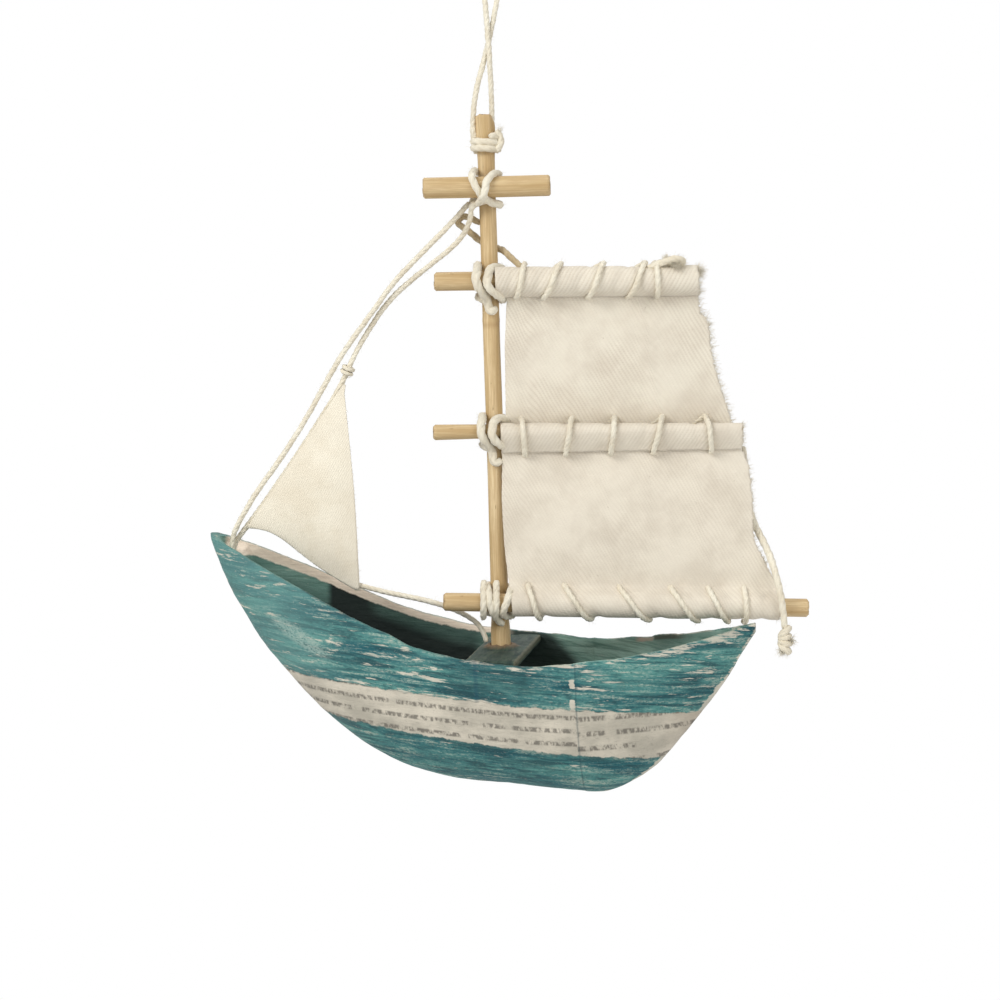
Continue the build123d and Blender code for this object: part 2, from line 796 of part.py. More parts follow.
# Tail at the lower sail's outer edge, down to its frayed knot
tail_route = [
    (middle_hem_end + 0.4, -1.45, middle_yard_height - 4.7),
    (49.6, -1.25, 33.0),
    (49.9, -1.1, 27.5),
    (51.5, -0.8, 22.2),
    (53.7, -3.2, 17.6),
    (54.6, -6.4, 13.8),
    (lower_foot_end - 0.8, -7.9, 9.4),
    (lower_foot_end - 0.2, -7.9, 5.6),
    (lower_foot_end, -7.4, 2.3),
]
with BuildPart() as leech_tail:
    add(cord_tube("leech_tail", [rig(*p) for p in tail_route], tail_dia))
leech_tail.part.label = "leech_tail"
export_step(leech_tail.part, "parts/leech_tail.step")

with BuildPart() as leech_knot:
    tail_x, tail_y, tail_z = tail_route[-1]
    knot_centre = rig(tail_x, tail_y, tail_z - tail_knot_length / 2 - 2 * cord_gap)
    add(barrel(knot_centre, (0, 0, 1), tail_knot_dia, tail_knot_length))
leech_knot.part.label = "leech_knot"
export_step(leech_knot.part, "parts/leech_knot.step")
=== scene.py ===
"""The looks of a hanging paper ship: painted paper hull, bamboo sticks, twill sails and twisted cord."""
import random
from math import atan2, cos, exp, hypot, pi, radians, sin, sqrt, tan

import bmesh
import bpy
import numpy as np
from mathutils import Matrix, Vector, noise


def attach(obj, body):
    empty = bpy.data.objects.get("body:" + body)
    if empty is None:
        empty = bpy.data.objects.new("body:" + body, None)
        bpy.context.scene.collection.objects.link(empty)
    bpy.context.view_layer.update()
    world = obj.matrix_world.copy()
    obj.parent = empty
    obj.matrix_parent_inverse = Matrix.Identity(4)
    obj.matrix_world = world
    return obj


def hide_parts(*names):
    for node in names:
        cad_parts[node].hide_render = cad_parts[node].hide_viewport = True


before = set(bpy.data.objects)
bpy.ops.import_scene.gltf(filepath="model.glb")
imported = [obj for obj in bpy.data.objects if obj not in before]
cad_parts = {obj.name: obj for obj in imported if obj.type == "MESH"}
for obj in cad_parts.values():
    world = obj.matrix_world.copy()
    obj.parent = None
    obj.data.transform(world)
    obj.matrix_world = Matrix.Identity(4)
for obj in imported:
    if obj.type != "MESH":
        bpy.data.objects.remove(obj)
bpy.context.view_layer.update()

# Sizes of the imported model, in millimetres and degrees
MM = 0.001
HANG_HEIGHT = 139.6
HANG_AFT = 2.0
SWING = radians(10.5)
MAST_RADIUS = 1.75
MAST_HEIGHT = 105.1
FIT = 0.15
CORD_DIA = 1.15
TAIL_DIA = 1.5
BOW_REACH = 59.3
STERN_REACH = 50.9

# Height at the mast, tilt in degrees, diameter, reach forward and aft
TOP_YARD = (90.9, -0.4, 4.1, 12.6, 12.2)
UPPER_YARD = (72.55, -1.2, 3.7, 11.0, 39.4)
MIDDLE_YARD = (42.9, -0.9, 3.1, 12.1, 49.2)
BOOM = (8.75, -2.85, 3.6, 11.2, 61.6)
MIDDLE_TIP = 1.3


def at(x, y, z):
    """A place given from the mast's axis at the height of its foot, in the row frame in metres."""
    return Vector(((x - HANG_AFT) * MM, y * MM, (z - HANG_HEIGHT) * MM))


def rig(x, y, z):
    """A place in the swung sail plan: x along the yards, y across them."""
    return at(x * cos(SWING) - y * sin(SWING), x * sin(SWING) + y * cos(SWING), z)


def placed(point):
    """The reverse of at."""
    return point.x / MM + HANG_AFT, point.y / MM, point.z / MM + HANG_HEIGHT


def spar_y(dia):
    return -(MAST_RADIUS + FIT + dia / 2)


def spar_z(spar, x):
    return spar[0] + x * tan(radians(spar[1]))


def smooth(low, high, value):
    t = min(max((value - low) / (high - low), 0), 1)
    return t * t * (3 - 2 * t)


def bumps(x, y, z=0.0):
    """Smooth noise between about -1 and 1."""
    return noise.noise(Vector((x, y, z)))


# Camera, at the photograph's place
def make_camera():
    azimuth, elevation, roll = radians(9.5), radians(5.5), radians(1.7275)
    back = Vector((sin(azimuth) * cos(elevation), -cos(azimuth) * cos(elevation), sin(elevation)))
    level = Vector((cos(azimuth), sin(azimuth), 0))
    rise = back.cross(level)
    right = level * cos(roll) - rise * sin(roll)
    up = level * sin(roll) + rise * cos(roll)
    data = bpy.data.cameras.new("camera")
    data.sensor_width = 36
    data.lens = 81
    data.clip_start = 0.01
    camera = bpy.data.objects.new("camera", data)
    place = Vector((72.605, -441.785, -67.534)) * MM
    camera.matrix_world = Matrix.Translation(place) @ Matrix((right, up, back)).transposed().to_4x4()
    bpy.context.scene.collection.objects.link(camera)
    bpy.context.scene.camera = camera


make_camera()


# Shader nodes written as formulas
class Value:
    """A node's output that takes part in formulas, each of which adds a node."""

    def __init__(self, graph, socket):
        self.graph, self.socket = graph, socket

    def __add__(self, other):
        return self.graph.math("ADD", self, other)

    def __sub__(self, other):
        return self.graph.math("SUBTRACT", self, other)

    def __rsub__(self, other):
        return self.graph.math("SUBTRACT", other, self)

    def __mul__(self, other):
        return self.graph.math("MULTIPLY", self, other)

    def __truediv__(self, other):
        return self.graph.math("DIVIDE", self, other)

    def __pow__(self, other):
        return self.graph.math("POWER", self, other)

    def __abs__(self):
        return self.graph.math("ABSOLUTE", self)


class Graph:
    """A material's nodes. Every method returns a value that the next one takes."""

    def __init__(self, name):
        self.material = bpy.data.materials.new(name)
        self.material.use_nodes = True
        self.tree = self.material.node_tree
        self.tree.nodes.clear()
        self.output = self.add("ShaderNodeOutputMaterial")
        self.shader = self.add("ShaderNodeBsdfPrincipled")
        self.tree.links.new(self.shader.outputs[0], self.output.inputs[0])

    def add(self, kind, **settings):
        node = self.tree.nodes.new(kind)
        for key, value in settings.items():
            setattr(node, key, value)
        return node

    def put(self, socket, value):
        if isinstance(value, Value):
            self.tree.links.new(value.socket, socket)
        else:
            socket.default_value = value

    def math(self, operation, *values):
        node = self.add("ShaderNodeMath", operation=operation)
        for socket, value in zip(node.inputs, values):
            self.put(socket, value)
        return Value(self, node.outputs[0])

    def ramp(self, value, low, high):
        """0 below low and 1 above high, or the other way round, smooth between."""
        node = self.add("ShaderNodeMapRange", interpolation_type="SMOOTHSTEP")
        limits = (low, high, 0, 1) if low < high else (high, low, 1, 0)
        for socket, number in zip(node.inputs, (value, *limits)):
            self.put(socket, number)
        return Value(self, node.outputs[0])

    def parts(self, place):
        node = self.add("ShaderNodeSeparateXYZ")
        self.tree.links.new(place, node.inputs[0])
        return [Value(self, out) for out in node.outputs]

    def place(self):
        """Millimetres from the mast's axis at its foot, as three values."""
        x, y, z = self.parts(self.add("ShaderNodeTexCoord").outputs["Object"])
        return x * 1000.0 + HANG_AFT, y * 1000.0, z * 1000.0 + HANG_HEIGHT

    def map(self):
        """The piece's own map, in millimetres, as two values."""
        return self.parts(self.add("ShaderNodeUVMap", uv_map="mm").outputs[0])[:2]

    def noise(self, place, detail=3.0, roughness=0.5, lean=0.0):
        """Noise between 0 and 1 at a place of two or three values or numbers."""
        spot = self.add("ShaderNodeCombineXYZ")
        for socket, value in zip(spot.inputs, place):
            self.put(socket, value)
        node = self.add("ShaderNodeTexNoise")
        self.tree.links.new(spot.outputs[0], node.inputs["Vector"])
        settings = {"Scale": 1.0, "Detail": detail, "Roughness": roughness, "Distortion": lean}
        for key, number in settings.items():
            node.inputs[key].default_value = number
        return Value(self, node.outputs[0])

    def attribute(self, name):
        return Value(self, self.add("ShaderNodeAttribute", attribute_name=name).outputs["Fac"])

    def mix(self, share, under, over):
        """The colour over laid on the colour under by a share."""
        node = self.add("ShaderNodeMix", data_type="RGBA")
        for index, value in ((0, share), (6, under), (7, over)):
            self.put(node.inputs[index], value)
        return Value(self, node.outputs[2])

    def layers(self, base, *coats):
        """The colour base under coats of (share, red, green, blue), the last one on top."""
        for share, *colour in coats:
            base = self.mix(share, base, rgb(*colour))
        return base

    def finish(self, colour, roughness, height, depth, **fixed):
        """Joins colour, roughness and relief, height in shares of depth in millimetres, to the shader."""
        self.put(self.shader.inputs["Base Color"], colour)
        self.put(self.shader.inputs["Roughness"], roughness)
        for key, value in fixed.items():
            self.shader.inputs[key.replace("_", " ")].default_value = value
        relief = self.add("ShaderNodeBump")
        relief.inputs["Strength"].default_value = 1.0
        relief.inputs["Distance"].default_value = depth * MM
        self.put(relief.inputs["Height"], height)
        self.tree.links.new(relief.outputs[0], self.shader.inputs["Normal"])
        return self.material


def rgb(red, green, blue):
    """A colour written as on a screen, 0 to 255, turned into light."""
    def light(value):
        share = value / 255
        return share / 12.92 if share <= 0.04045 else ((share + 0.055) / 1.055) ** 2.4
    return (light(red), light(green), light(blue), 1.0)


def bamboo_material():
    """Split bamboo: fine fibres along the stick, paler and browner streaks, and a few dark pores."""
    g = Graph("bamboo")
    round_mm, along_mm = g.map()
    fibres = g.noise((round_mm * 3.2, along_mm * 0.12), 4.0, 0.65)
    streaks = g.noise((round_mm * 0.55, along_mm * 0.035, 4.0), 2.0, 0.5)
    pores = g.noise((round_mm * 2.4, along_mm * 0.45, 9.0), 2.0, 0.6)
    base = g.mix(g.ramp(streaks, 0.3, 0.7), rgb(190, 162, 114), rgb(222, 199, 156))
    base = g.layers(
        base,
        (g.ramp(fibres, 0.62, 0.42) * 0.5, 176, 143, 98),
        (g.ramp(pores, 0.66, 0.76) * 0.6, 122, 88, 52),
        (g.attribute("end") * 0.4, 158, 124, 82))
    height = fibres * 0.7 + streaks * 0.3
    return g.finish(base, fibres * 0.15 + 0.5, height, 0.09, Specular_IOR_Level=0.35)


def twill_material(name, pale, shade, pitch, relief, contrast):
    """Unbleached twill: steep diagonal ribs crossed by the yarns, uneven yarn tone and a few specks."""
    g = Graph(name)
    across, down = g.map()
    drift = g.noise((across * 0.15, down * 0.15), 2.0) * 0.5
    rib_phase = (across - down * 0.577 + drift) * (2 * pi / pitch)
    ribs = g.math("SINE", rib_phase) * 0.5 + 0.5
    yarn_phase = (down + across * 0.06) * (2 * pi / (0.52 * pitch))
    yarns = g.math("SINE", yarn_phase) * 0.5 + 0.5
    clouds = g.noise((across * 0.11, down * 0.11, 7.0), 3.0, 0.6)
    slubs = g.noise((across * 0.35, down * 2.2, 3.0), 2.0, 0.6)
    specks = g.noise((across * 1.3, down * 1.3, 11.0), 1.0, 0.4)
    weave = ribs * 0.68 + yarns * 0.32
    base = g.mix(g.ramp(clouds, 0.35, 0.7), pale, shade)
    seen = g.noise((across * 0.07, down * 0.06, 21.0), 2.0, 0.5)
    seen = (g.ramp(seen, 0.38, 0.6) * 0.8 + 0.2) * contrast
    base = g.layers(
        base,
        (g.ramp(weave, 0.6, 0.1) * seen, 184, 168, 146),
        (g.ramp(slubs, 0.6, 0.75) * 0.18, 244, 238, 224),
        (g.ramp(specks, 0.77, 0.8) * 0.25, 140, 118, 88))
    height = weave + slubs * 0.35
    return g.finish(base, 0.92, height, relief,
                    Specular_IOR_Level=0.12, Sheen_Weight=0.25, Sheen_Roughness=0.5)


def cotton_material(name, pale, shade):
    """Soft twisted cotton cord."""
    g = Graph(name)
    round_mm, along_mm = g.map()
    fibres = g.noise((round_mm * 3.0, along_mm * 1.1), 3.0, 0.6)
    tone = g.noise((along_mm * 0.14, 2.0), 2.0, 0.5)
    base = g.mix(g.ramp(tone, 0.35, 0.65), shade, pale)
    base = g.mix(g.ramp(fibres, 0.5, 0.3) * 0.3, base, rgb(190, 172, 138))
    return g.finish(base, 0.93, fibres, 0.08, Specular_IOR_Level=0.12, Sheen_Weight=0.3, Sheen_Roughness=0.5)


# The bare band's edges, as height at the mast and slope, and the ends of the strips
BAND_TOP = (-9.05, -0.108)
BAND_FOOT = (-18.0, -0.1355)
SEAM_AFT = 16.7
SEAM_FORE = -2.2


def hull_material():
    """Strips of newsprint, painted teal above and below one bare band, with brush streaks and worn edges."""
    g = Graph("painted_paper")
    x, y, z = g.place()
    below = g.attribute("below")
    keel_near = g.attribute("keel_near")
    inside = g.attribute("inside")
    ragged = g.noise((x * 0.45, z * 0.25), 3.0, 0.7) - 0.5
    edge_z = z + ragged * 1.6
    top_z = x * BAND_TOP[1] + BAND_TOP[0]
    foot_z = x * BAND_FOOT[1] + BAND_FOOT[0]
    upper = g.ramp(edge_z - top_z, -0.12, 0.2)
    lower = 1.0 - g.ramp(edge_z - foot_z, -0.2, 0.12)
    paint = g.math("MAXIMUM", upper, lower)

    # Teal in tones of brush strokes that follow the strips, gritty with dark and pale specks
    slant = z + x * 0.11
    strokes = g.noise((x * 0.09, y * 0.1, slant * 0.95), 4.0, 0.65, 0.6)
    broad = g.noise((x * 0.05, 3.0, slant * 0.28), 3.0, 0.6, 0.4)
    fine = g.noise((x * 0.35, y * 0.3, slant * 3.6), 3.0, 0.7)
    grit = g.noise((x * 1.6, y * 1.2, slant * 3.2), 3.0, 0.75)
    teal = g.mix(g.ramp(broad, 0.3, 0.68), rgb(26, 90, 98), rgb(84, 142, 136))
    teal = g.layers(
        teal,
        (g.ramp(strokes, 0.54, 0.36) * 0.8, 20, 62, 70),
        (g.ramp(strokes, 0.55, 0.72) * 0.55, 132, 170, 158),
        (g.ramp(fine, 0.55, 0.75) * 0.35, 146, 176, 162),
        (g.ramp(grit, 0.46, 0.32) * 0.5, 22, 54, 56),
        (g.ramp(grit, 0.58, 0.72) * 0.35, 168, 184, 168))
    chalk = g.ramp(strokes, 0.5, 0.66) * g.ramp(grit, 0.42, 0.58)
    teal = g.mix(chalk * (g.ramp(x, -40.0, -30.0) * 0.22 + 0.22), teal, rgb(196, 196, 178))
    smear_x = (x + 39.0) / 7.0
    smear_z = (z + x * 0.6 + 20.1) / 2.2
    smear = smear_x * smear_x + smear_z * smear_z
    teal = g.layers(
        teal,
        (g.ramp(smear, 1.2, 0.2) * (g.ramp(grit, 0.34, 0.56) * 0.62), 180, 192, 180),
        (g.ramp(x, -24.0, -44.0) * 0.42, 112, 154, 148))
    # Darker teal high on the side amidships.
    deep = g.ramp(x, 13.0, 7.0) * g.ramp(x, -12.0, -4.0) * g.ramp(z, -9.0, -6.0)
    teal = g.mix(deep * 0.35, teal, rgb(30, 62, 66))

    # Bare newsprint with clouds of grey and a pinkish tinge, and illegible rows of soft dashes
    clouds = g.noise((x * 0.12, y * 0.12, z * 0.2), 4.0, 0.6)
    paper = g.mix(g.ramp(clouds, 0.3, 0.7), rgb(178, 172, 157), rgb(210, 202, 185))
    paper = g.layers(
        paper,
        (g.ramp(grit, 0.45, 0.3) * 0.35, 132, 128, 116),
        (g.ramp(x, 30.0, 44.0) * 0.3, 170, 146, 122),
        (g.ramp(strokes, 0.6, 0.75) * 0.3, 176, 170, 160))
    aft = g.ramp(x, SEAM_AFT - 0.1, SEAM_AFT + 0.1)
    fore_row = (z + x * 0.09 + 10.9) / -2.75
    aft_row = (z - x * 0.012 + 12.9) / -3.1
    row = fore_row * (1.0 - aft) + aft_row * aft
    row_mid = abs(g.math("FRACT", row + 0.5) - 0.5)
    row_number = g.math("FLOOR", row + 0.5)
    words = g.noise((x * 0.28, row_number * 17.3), 0.0)
    marks = g.noise((x * 1.5, row_number * 9.7, row * 2.2), 2.0, 0.6)
    ink = g.ramp(row_mid, 0.24, 0.1) * g.ramp(words, 0.3, 0.38) * g.ramp(marks, 0.36, 0.6)
    paper = g.mix(ink * 0.78, paper, rgb(92, 88, 80))
    teal = g.mix(ink * g.ramp(z, -4.0, -8.0) * 0.3, teal, rgb(30, 62, 68))

    # Worn spots: streaks of bare paper along the strokes, most at the rim, the stern and the strips' edges
    worn = g.noise((x * 0.16, y * 0.15, slant * 1.25), 5.0, 0.72, 0.3)
    patches = g.noise((x * 0.06, 5.0, slant * 0.12), 2.0, 0.5)
    rim_share = g.ramp(x, -10.0, -4.0) * 0.09 + g.ramp(x, 18.0, 25.0) * 0.015
    rim_wear = g.ramp(below, 1.4, 0.1) * rim_share
    blotch = ((x + 31.1) / 2.0) ** 2.0 + ((z - 1.9) / 3.2) ** 2.0
    smear_wear = g.ramp(blotch, 1.2, 0.5) * g.ramp(y, 0.0, -1.0) * 0.07
    stern_wear = g.ramp(keel_near, 1.3, 0.3) * (g.ramp(x, 22.0, 34.0) * g.ramp(z, -6.0, -9.5)) * 0.34
    streak = g.ramp(z, -12.6, -11.6) * g.ramp(z, -8.2, -9.0) + g.ramp(z, -6.6, -6.0) * g.ramp(z, -4.4, -5.0)
    seam_wear = g.ramp(abs(x - (SEAM_AFT - 0.4)), 0.7, 0.2) * streak * 0.24
    keel_wear = g.ramp(keel_near, 0.9, 0.2) * 0.16
    strip_wear = g.ramp(abs(edge_z - top_z), 1.3, 0.3) * 0.05 - lower * 0.05
    push = rim_wear + stern_wear + seam_wear + smear_wear + keel_wear + strip_wear
    bare = g.ramp(worn + push + (patches - 0.5) * 0.35, 0.575, 0.655)
    cream = g.mix(g.ramp(clouds, 0.35, 0.7), rgb(196, 190, 174), rgb(226, 216, 198))
    outer = g.mix(paint, paper, g.mix(bare * 0.86, teal, cream))

    # Dark lines where one strip's end laps another's
    lap_aft = g.ramp(abs(x + ragged * 0.5 - (SEAM_AFT + 0.3)), 0.3, 0.05)
    lap_fore = g.ramp(abs(x - SEAM_FORE), 0.7, 0.1) * upper
    outer = g.layers(
        outer,
        (lap_aft * 0.35, 34, 74, 84),
        (lap_fore * 0.4, 18, 66, 84))
    edge_line = g.ramp(abs(edge_z - foot_z + 0.25), 0.45, 0.05)
    outer = g.mix(edge_line * 0.3, outer, rgb(70, 84, 80))

    # Inside: the coat, paler aft of the mast by painted light and darker towards the stern, with painted shade low
    # down and near black forward of the mast, a painted shadow aft of the thwart, and bare paper along the far
    # wall's top at the bow
    # Painted light: the coat is painted paler aft of the mast, where more light falls into the hull.
    aft_coat_and_painted_light = g.mix(g.ramp(broad, 0.3, 0.7), rgb(150, 188, 174), rgb(176, 208, 194))
    fore_coat = g.mix(g.ramp(broad, 0.3, 0.7), rgb(98, 134, 124), rgb(130, 166, 154))
    coat = g.mix(g.ramp(x, -10.0, 8.0), fore_coat, aft_coat_and_painted_light)
    coat = g.mix(g.ramp(x, 28.0, 32.0) * 0.6, coat, rgb(92, 116, 106))
    # Painted shade: darker low inside the hull, forward of the mast.
    low_shade = g.ramp(below, 2.0, 8.0) * g.ramp(x, -12.0, -28.0)
    coat = g.layers(
        coat,
        (low_shade * 0.8, 20, 40, 40),
        (g.ramp(strokes, 0.55, 0.38) * 0.6, 84, 122, 110),
        (g.ramp(fine, 0.6, 0.75) * 0.3, 150, 172, 156))
    coat = g.mix(g.ramp(worn + g.ramp(below, 2.2, 0.2) * 0.06, 0.66, 0.72) * 0.6, coat, cream)
    # Painted shade: near black inside forward of the mast, eased under the rim at its aft part by a band of
    # painted light.
    painted_shade_fore = g.ramp(x, -38.6, -37.0) * g.ramp(x, -4.0, -9.0)
    lit_top = g.ramp(below, 5.2, 2.0) * g.ramp(x, -31.0, -27.0)
    coat = g.mix(painted_shade_fore * (1.0 - lit_top * 0.4) * 0.96, coat, rgb(8, 18, 16))
    # Painted shadow of the thwart: near black low down just aft of it.
    wedge = g.ramp(x + z - 6.8, 2.2, -1.6) * g.ramp(x, -6.0, -2.0)
    coat = g.mix(wedge * 0.92, coat, rgb(8, 18, 16))
    lining = g.ramp(below + ragged * 0.9 - (x * -0.026 + 0.75), 0.25, -0.15)
    lining = lining * g.ramp(y, 0.0, 1.5) * g.ramp(x, 0.5, -3.5) * g.ramp(x, -57.2, -56.4)
    coat = g.mix(lining, coat, g.mix(g.ramp(fine, 0.3, 0.7), rgb(252, 236, 216), rgb(234, 218, 198)))
    far_side = g.ramp(y, 0.0, 1.0)
    patch = g.ramp(x, 25.5, 27.0) * g.ramp(x, 30.2, 29.4) * far_side * g.ramp(below + ragged, 0.8, 0.4)
    coat = g.mix(patch * 0.8, coat, rgb(214, 190, 172))
    step = g.ramp(x, 29.6, 30.2) * g.ramp(x, 38.0, 34.0) * far_side * g.ramp(below, 0.9, 0.5)
    coat = g.mix(step * 0.7, coat, rgb(84, 74, 60))
    colour = g.mix(inside, outer, coat)
    # Painted shade: a dark disc where the stays go into the bow, for the hole they pass through.
    from_hole = g.math("SQRT", (x + 55.0) ** 2.0 + y * y)
    hole = g.ramp(from_hole, 1.5, 1.1) * g.ramp(below, 0.6, 0.3)
    colour = g.mix(hole * 0.85, colour, rgb(20, 26, 24))

    wrinkles = g.noise((x * 0.22, y * 0.22, z * 0.5), 5.0, 0.65)
    laps = upper * 0.5 + g.ramp(x, SEAM_AFT + 0.2, SEAM_AFT + 0.35) * 0.45
    height = wrinkles * 1.3 + strokes * 0.5 + (laps + fine * 0.25)
    return g.finish(colour, strokes * 0.2 + 0.6, height, 0.28, Specular_IOR_Level=0.3)


def thwart_material():
    """The same paper under a dark coat, rubbed pale at its edges and brown with glue at the mast."""
    g = Graph("thwart_paint")
    x, y, z = g.place()
    strokes = g.noise((x * 0.7, y * 0.12, z * 0.4), 4.0, 0.65, 0.4)
    fine = g.noise((x * 2.6, y * 0.5, z), 3.0, 0.7)
    coat = g.mix(g.ramp(strokes, 0.35, 0.65), rgb(24, 46, 41), rgb(62, 78, 66))
    coat = g.mix(g.ramp(fine, 0.58, 0.72) * 0.3, coat, rgb(126, 122, 98))
    edge = g.attribute("edge") + (fine - 0.5) * 0.9
    coat = g.mix(g.ramp(edge, 0.6, 0.9) * 0.35, coat, rgb(136, 128, 102))
    foot = g.math("SQRT", x * x + y * y)
    coat = g.mix(g.ramp(foot + fine * 2.0, 5.2, 3.4) * 0.7, coat, rgb(140, 112, 84))
    return g.finish(coat, 0.66, strokes + fine * 0.4, 0.16, Specular_IOR_Level=0.3)


BAMBOO = bamboo_material()
TWILL = twill_material("sail_twill", rgb(229, 221, 204), rgb(216, 206, 189), 0.84, 0.06, 0.3)
FADED_TWILL = twill_material("lower_twill", rgb(228, 219, 202), rgb(214, 204, 187), 0.78, 0.05, 0.2)
JIB_CLOTH = twill_material("jib_cotton", rgb(238, 230, 211), rgb(228, 218, 197), 0.5, 0.05, 0.15)
COTTON = cotton_material("cord_cotton", rgb(238, 232, 214), rgb(224, 214, 192))
# Painted shade: a darker copy of the cord cotton, for the hitch that lies in shade behind the mast.
PAINTED_SHADE_COTTON = cotton_material("painted_shade_cord", rgb(206, 190, 158), rgb(176, 156, 120))
HULL_PAINT = hull_material()
THWART_PAINT = thwart_material()


# Making pieces
def piece(name, points, faces, material, replaces=(), uvs=None, values=None):
    """A mesh piece on the root body, with its own map and per-point values."""
    mesh = bpy.data.meshes.new(name)
    mesh.from_pydata([tuple(p) for p in points], [], faces)
    mesh.update()
    if uvs is not None:
        layer = mesh.uv_layers.new(name="mm")
        loops = np.empty(len(mesh.loops), dtype=np.int64)
        mesh.loops.foreach_get("vertex_index", loops)
        layer.data.foreach_set("uv", np.array(uvs, dtype=np.float32)[loops].ravel())
    for key, numbers in (values or {}).items():
        layer = mesh.attributes.new(key, "FLOAT", "POINT")
        layer.data.foreach_set("value", np.array(numbers, dtype=np.float32))
    mesh.polygons.foreach_set("use_smooth", [True] * len(mesh.polygons))
    mesh.materials.append(material)
    made = bpy.data.objects.new(name, mesh)
    bpy.context.scene.collection.objects.link(made)
    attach(made, "root")
    if replaces:
        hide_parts(*replaces)
    return made


def ring_faces(rows, count, start=0):
    """Faces between closed rings of count points each."""
    faces = []
    for first in range(start, start + (rows - 1) * count, count):
        for k in range(count):
            a, b = first + k, first + (k + 1) % count
            faces.append((a, b, b + count, a + count))
    return faces


def spline_line(points, steps=10):
    """The smooth line of a cord through its route, read from a NURBS spline."""
    curve = bpy.data.curves.new("route", "CURVE")
    curve.dimensions = "3D"
    spline = curve.splines.new("NURBS")
    spline.points.add(len(points) - 1)
    for control, place in zip(spline.points, points):
        control.co = (*place, 1)
    spline.order_u = 3
    spline.use_endpoint_u = True
    curve.resolution_u = steps
    holder = bpy.data.objects.new("route", curve)
    line = bpy.data.meshes.new_from_object(holder)
    found = [v.co.copy() for v in line.vertices]
    bpy.data.objects.remove(holder)
    bpy.data.curves.remove(curve)
    bpy.data.meshes.remove(line)
    return found


def steps_along(spans, count):
    """Where count + 1 evenly spaced points fall, as pairs of a span's number and a share of that span."""
    found, i, walked = [], 0, 0.0
    for k in range(count + 1):
        want = sum(spans) * k / count
        while i < len(spans) - 1 and walked + spans[i] < want:
            walked += spans[i]
            i += 1
        found.append((i, (want - walked) / max(spans[i], 1e-12)))
    return found


def length_of(line):
    """The line's length, in metres."""
    return sum((b - a).length for a, b in zip(line, line[1:]))


def even(line, step):
    """The same line with its points a step apart, in metres."""
    spans = [(b - a).length for a, b in zip(line, line[1:])]
    return [line[i].lerp(line[i + 1], t) for i, t in steps_along(spans, max(int(sum(spans) / step), 2))]


def frames(line):
    """Two directions across the line at each of its points, carried along it without twist."""
    found = []
    ahead = (line[1] - line[0]).normalized()
    side = ahead.orthogonal().normalized()
    for i in range(len(line)):
        a, b = line[max(i - 1, 0)], line[min(i + 1, len(line) - 1)]
        now = (b - a).normalized()
        side = (side - now * side.dot(now)).normalized()
        found.append((side, now.cross(side)))
    return found


# A cord's plies: how many, and their radius, distance from its line and length of one turn, in its diameters
PLIES = 3
PLY_RADIUS = 0.36
PLY_OFF = 0.14
PLY_LAY = 3.6


def jitter(rng, size):
    return Vector([rng.uniform(-size, size) for _ in range(3)])


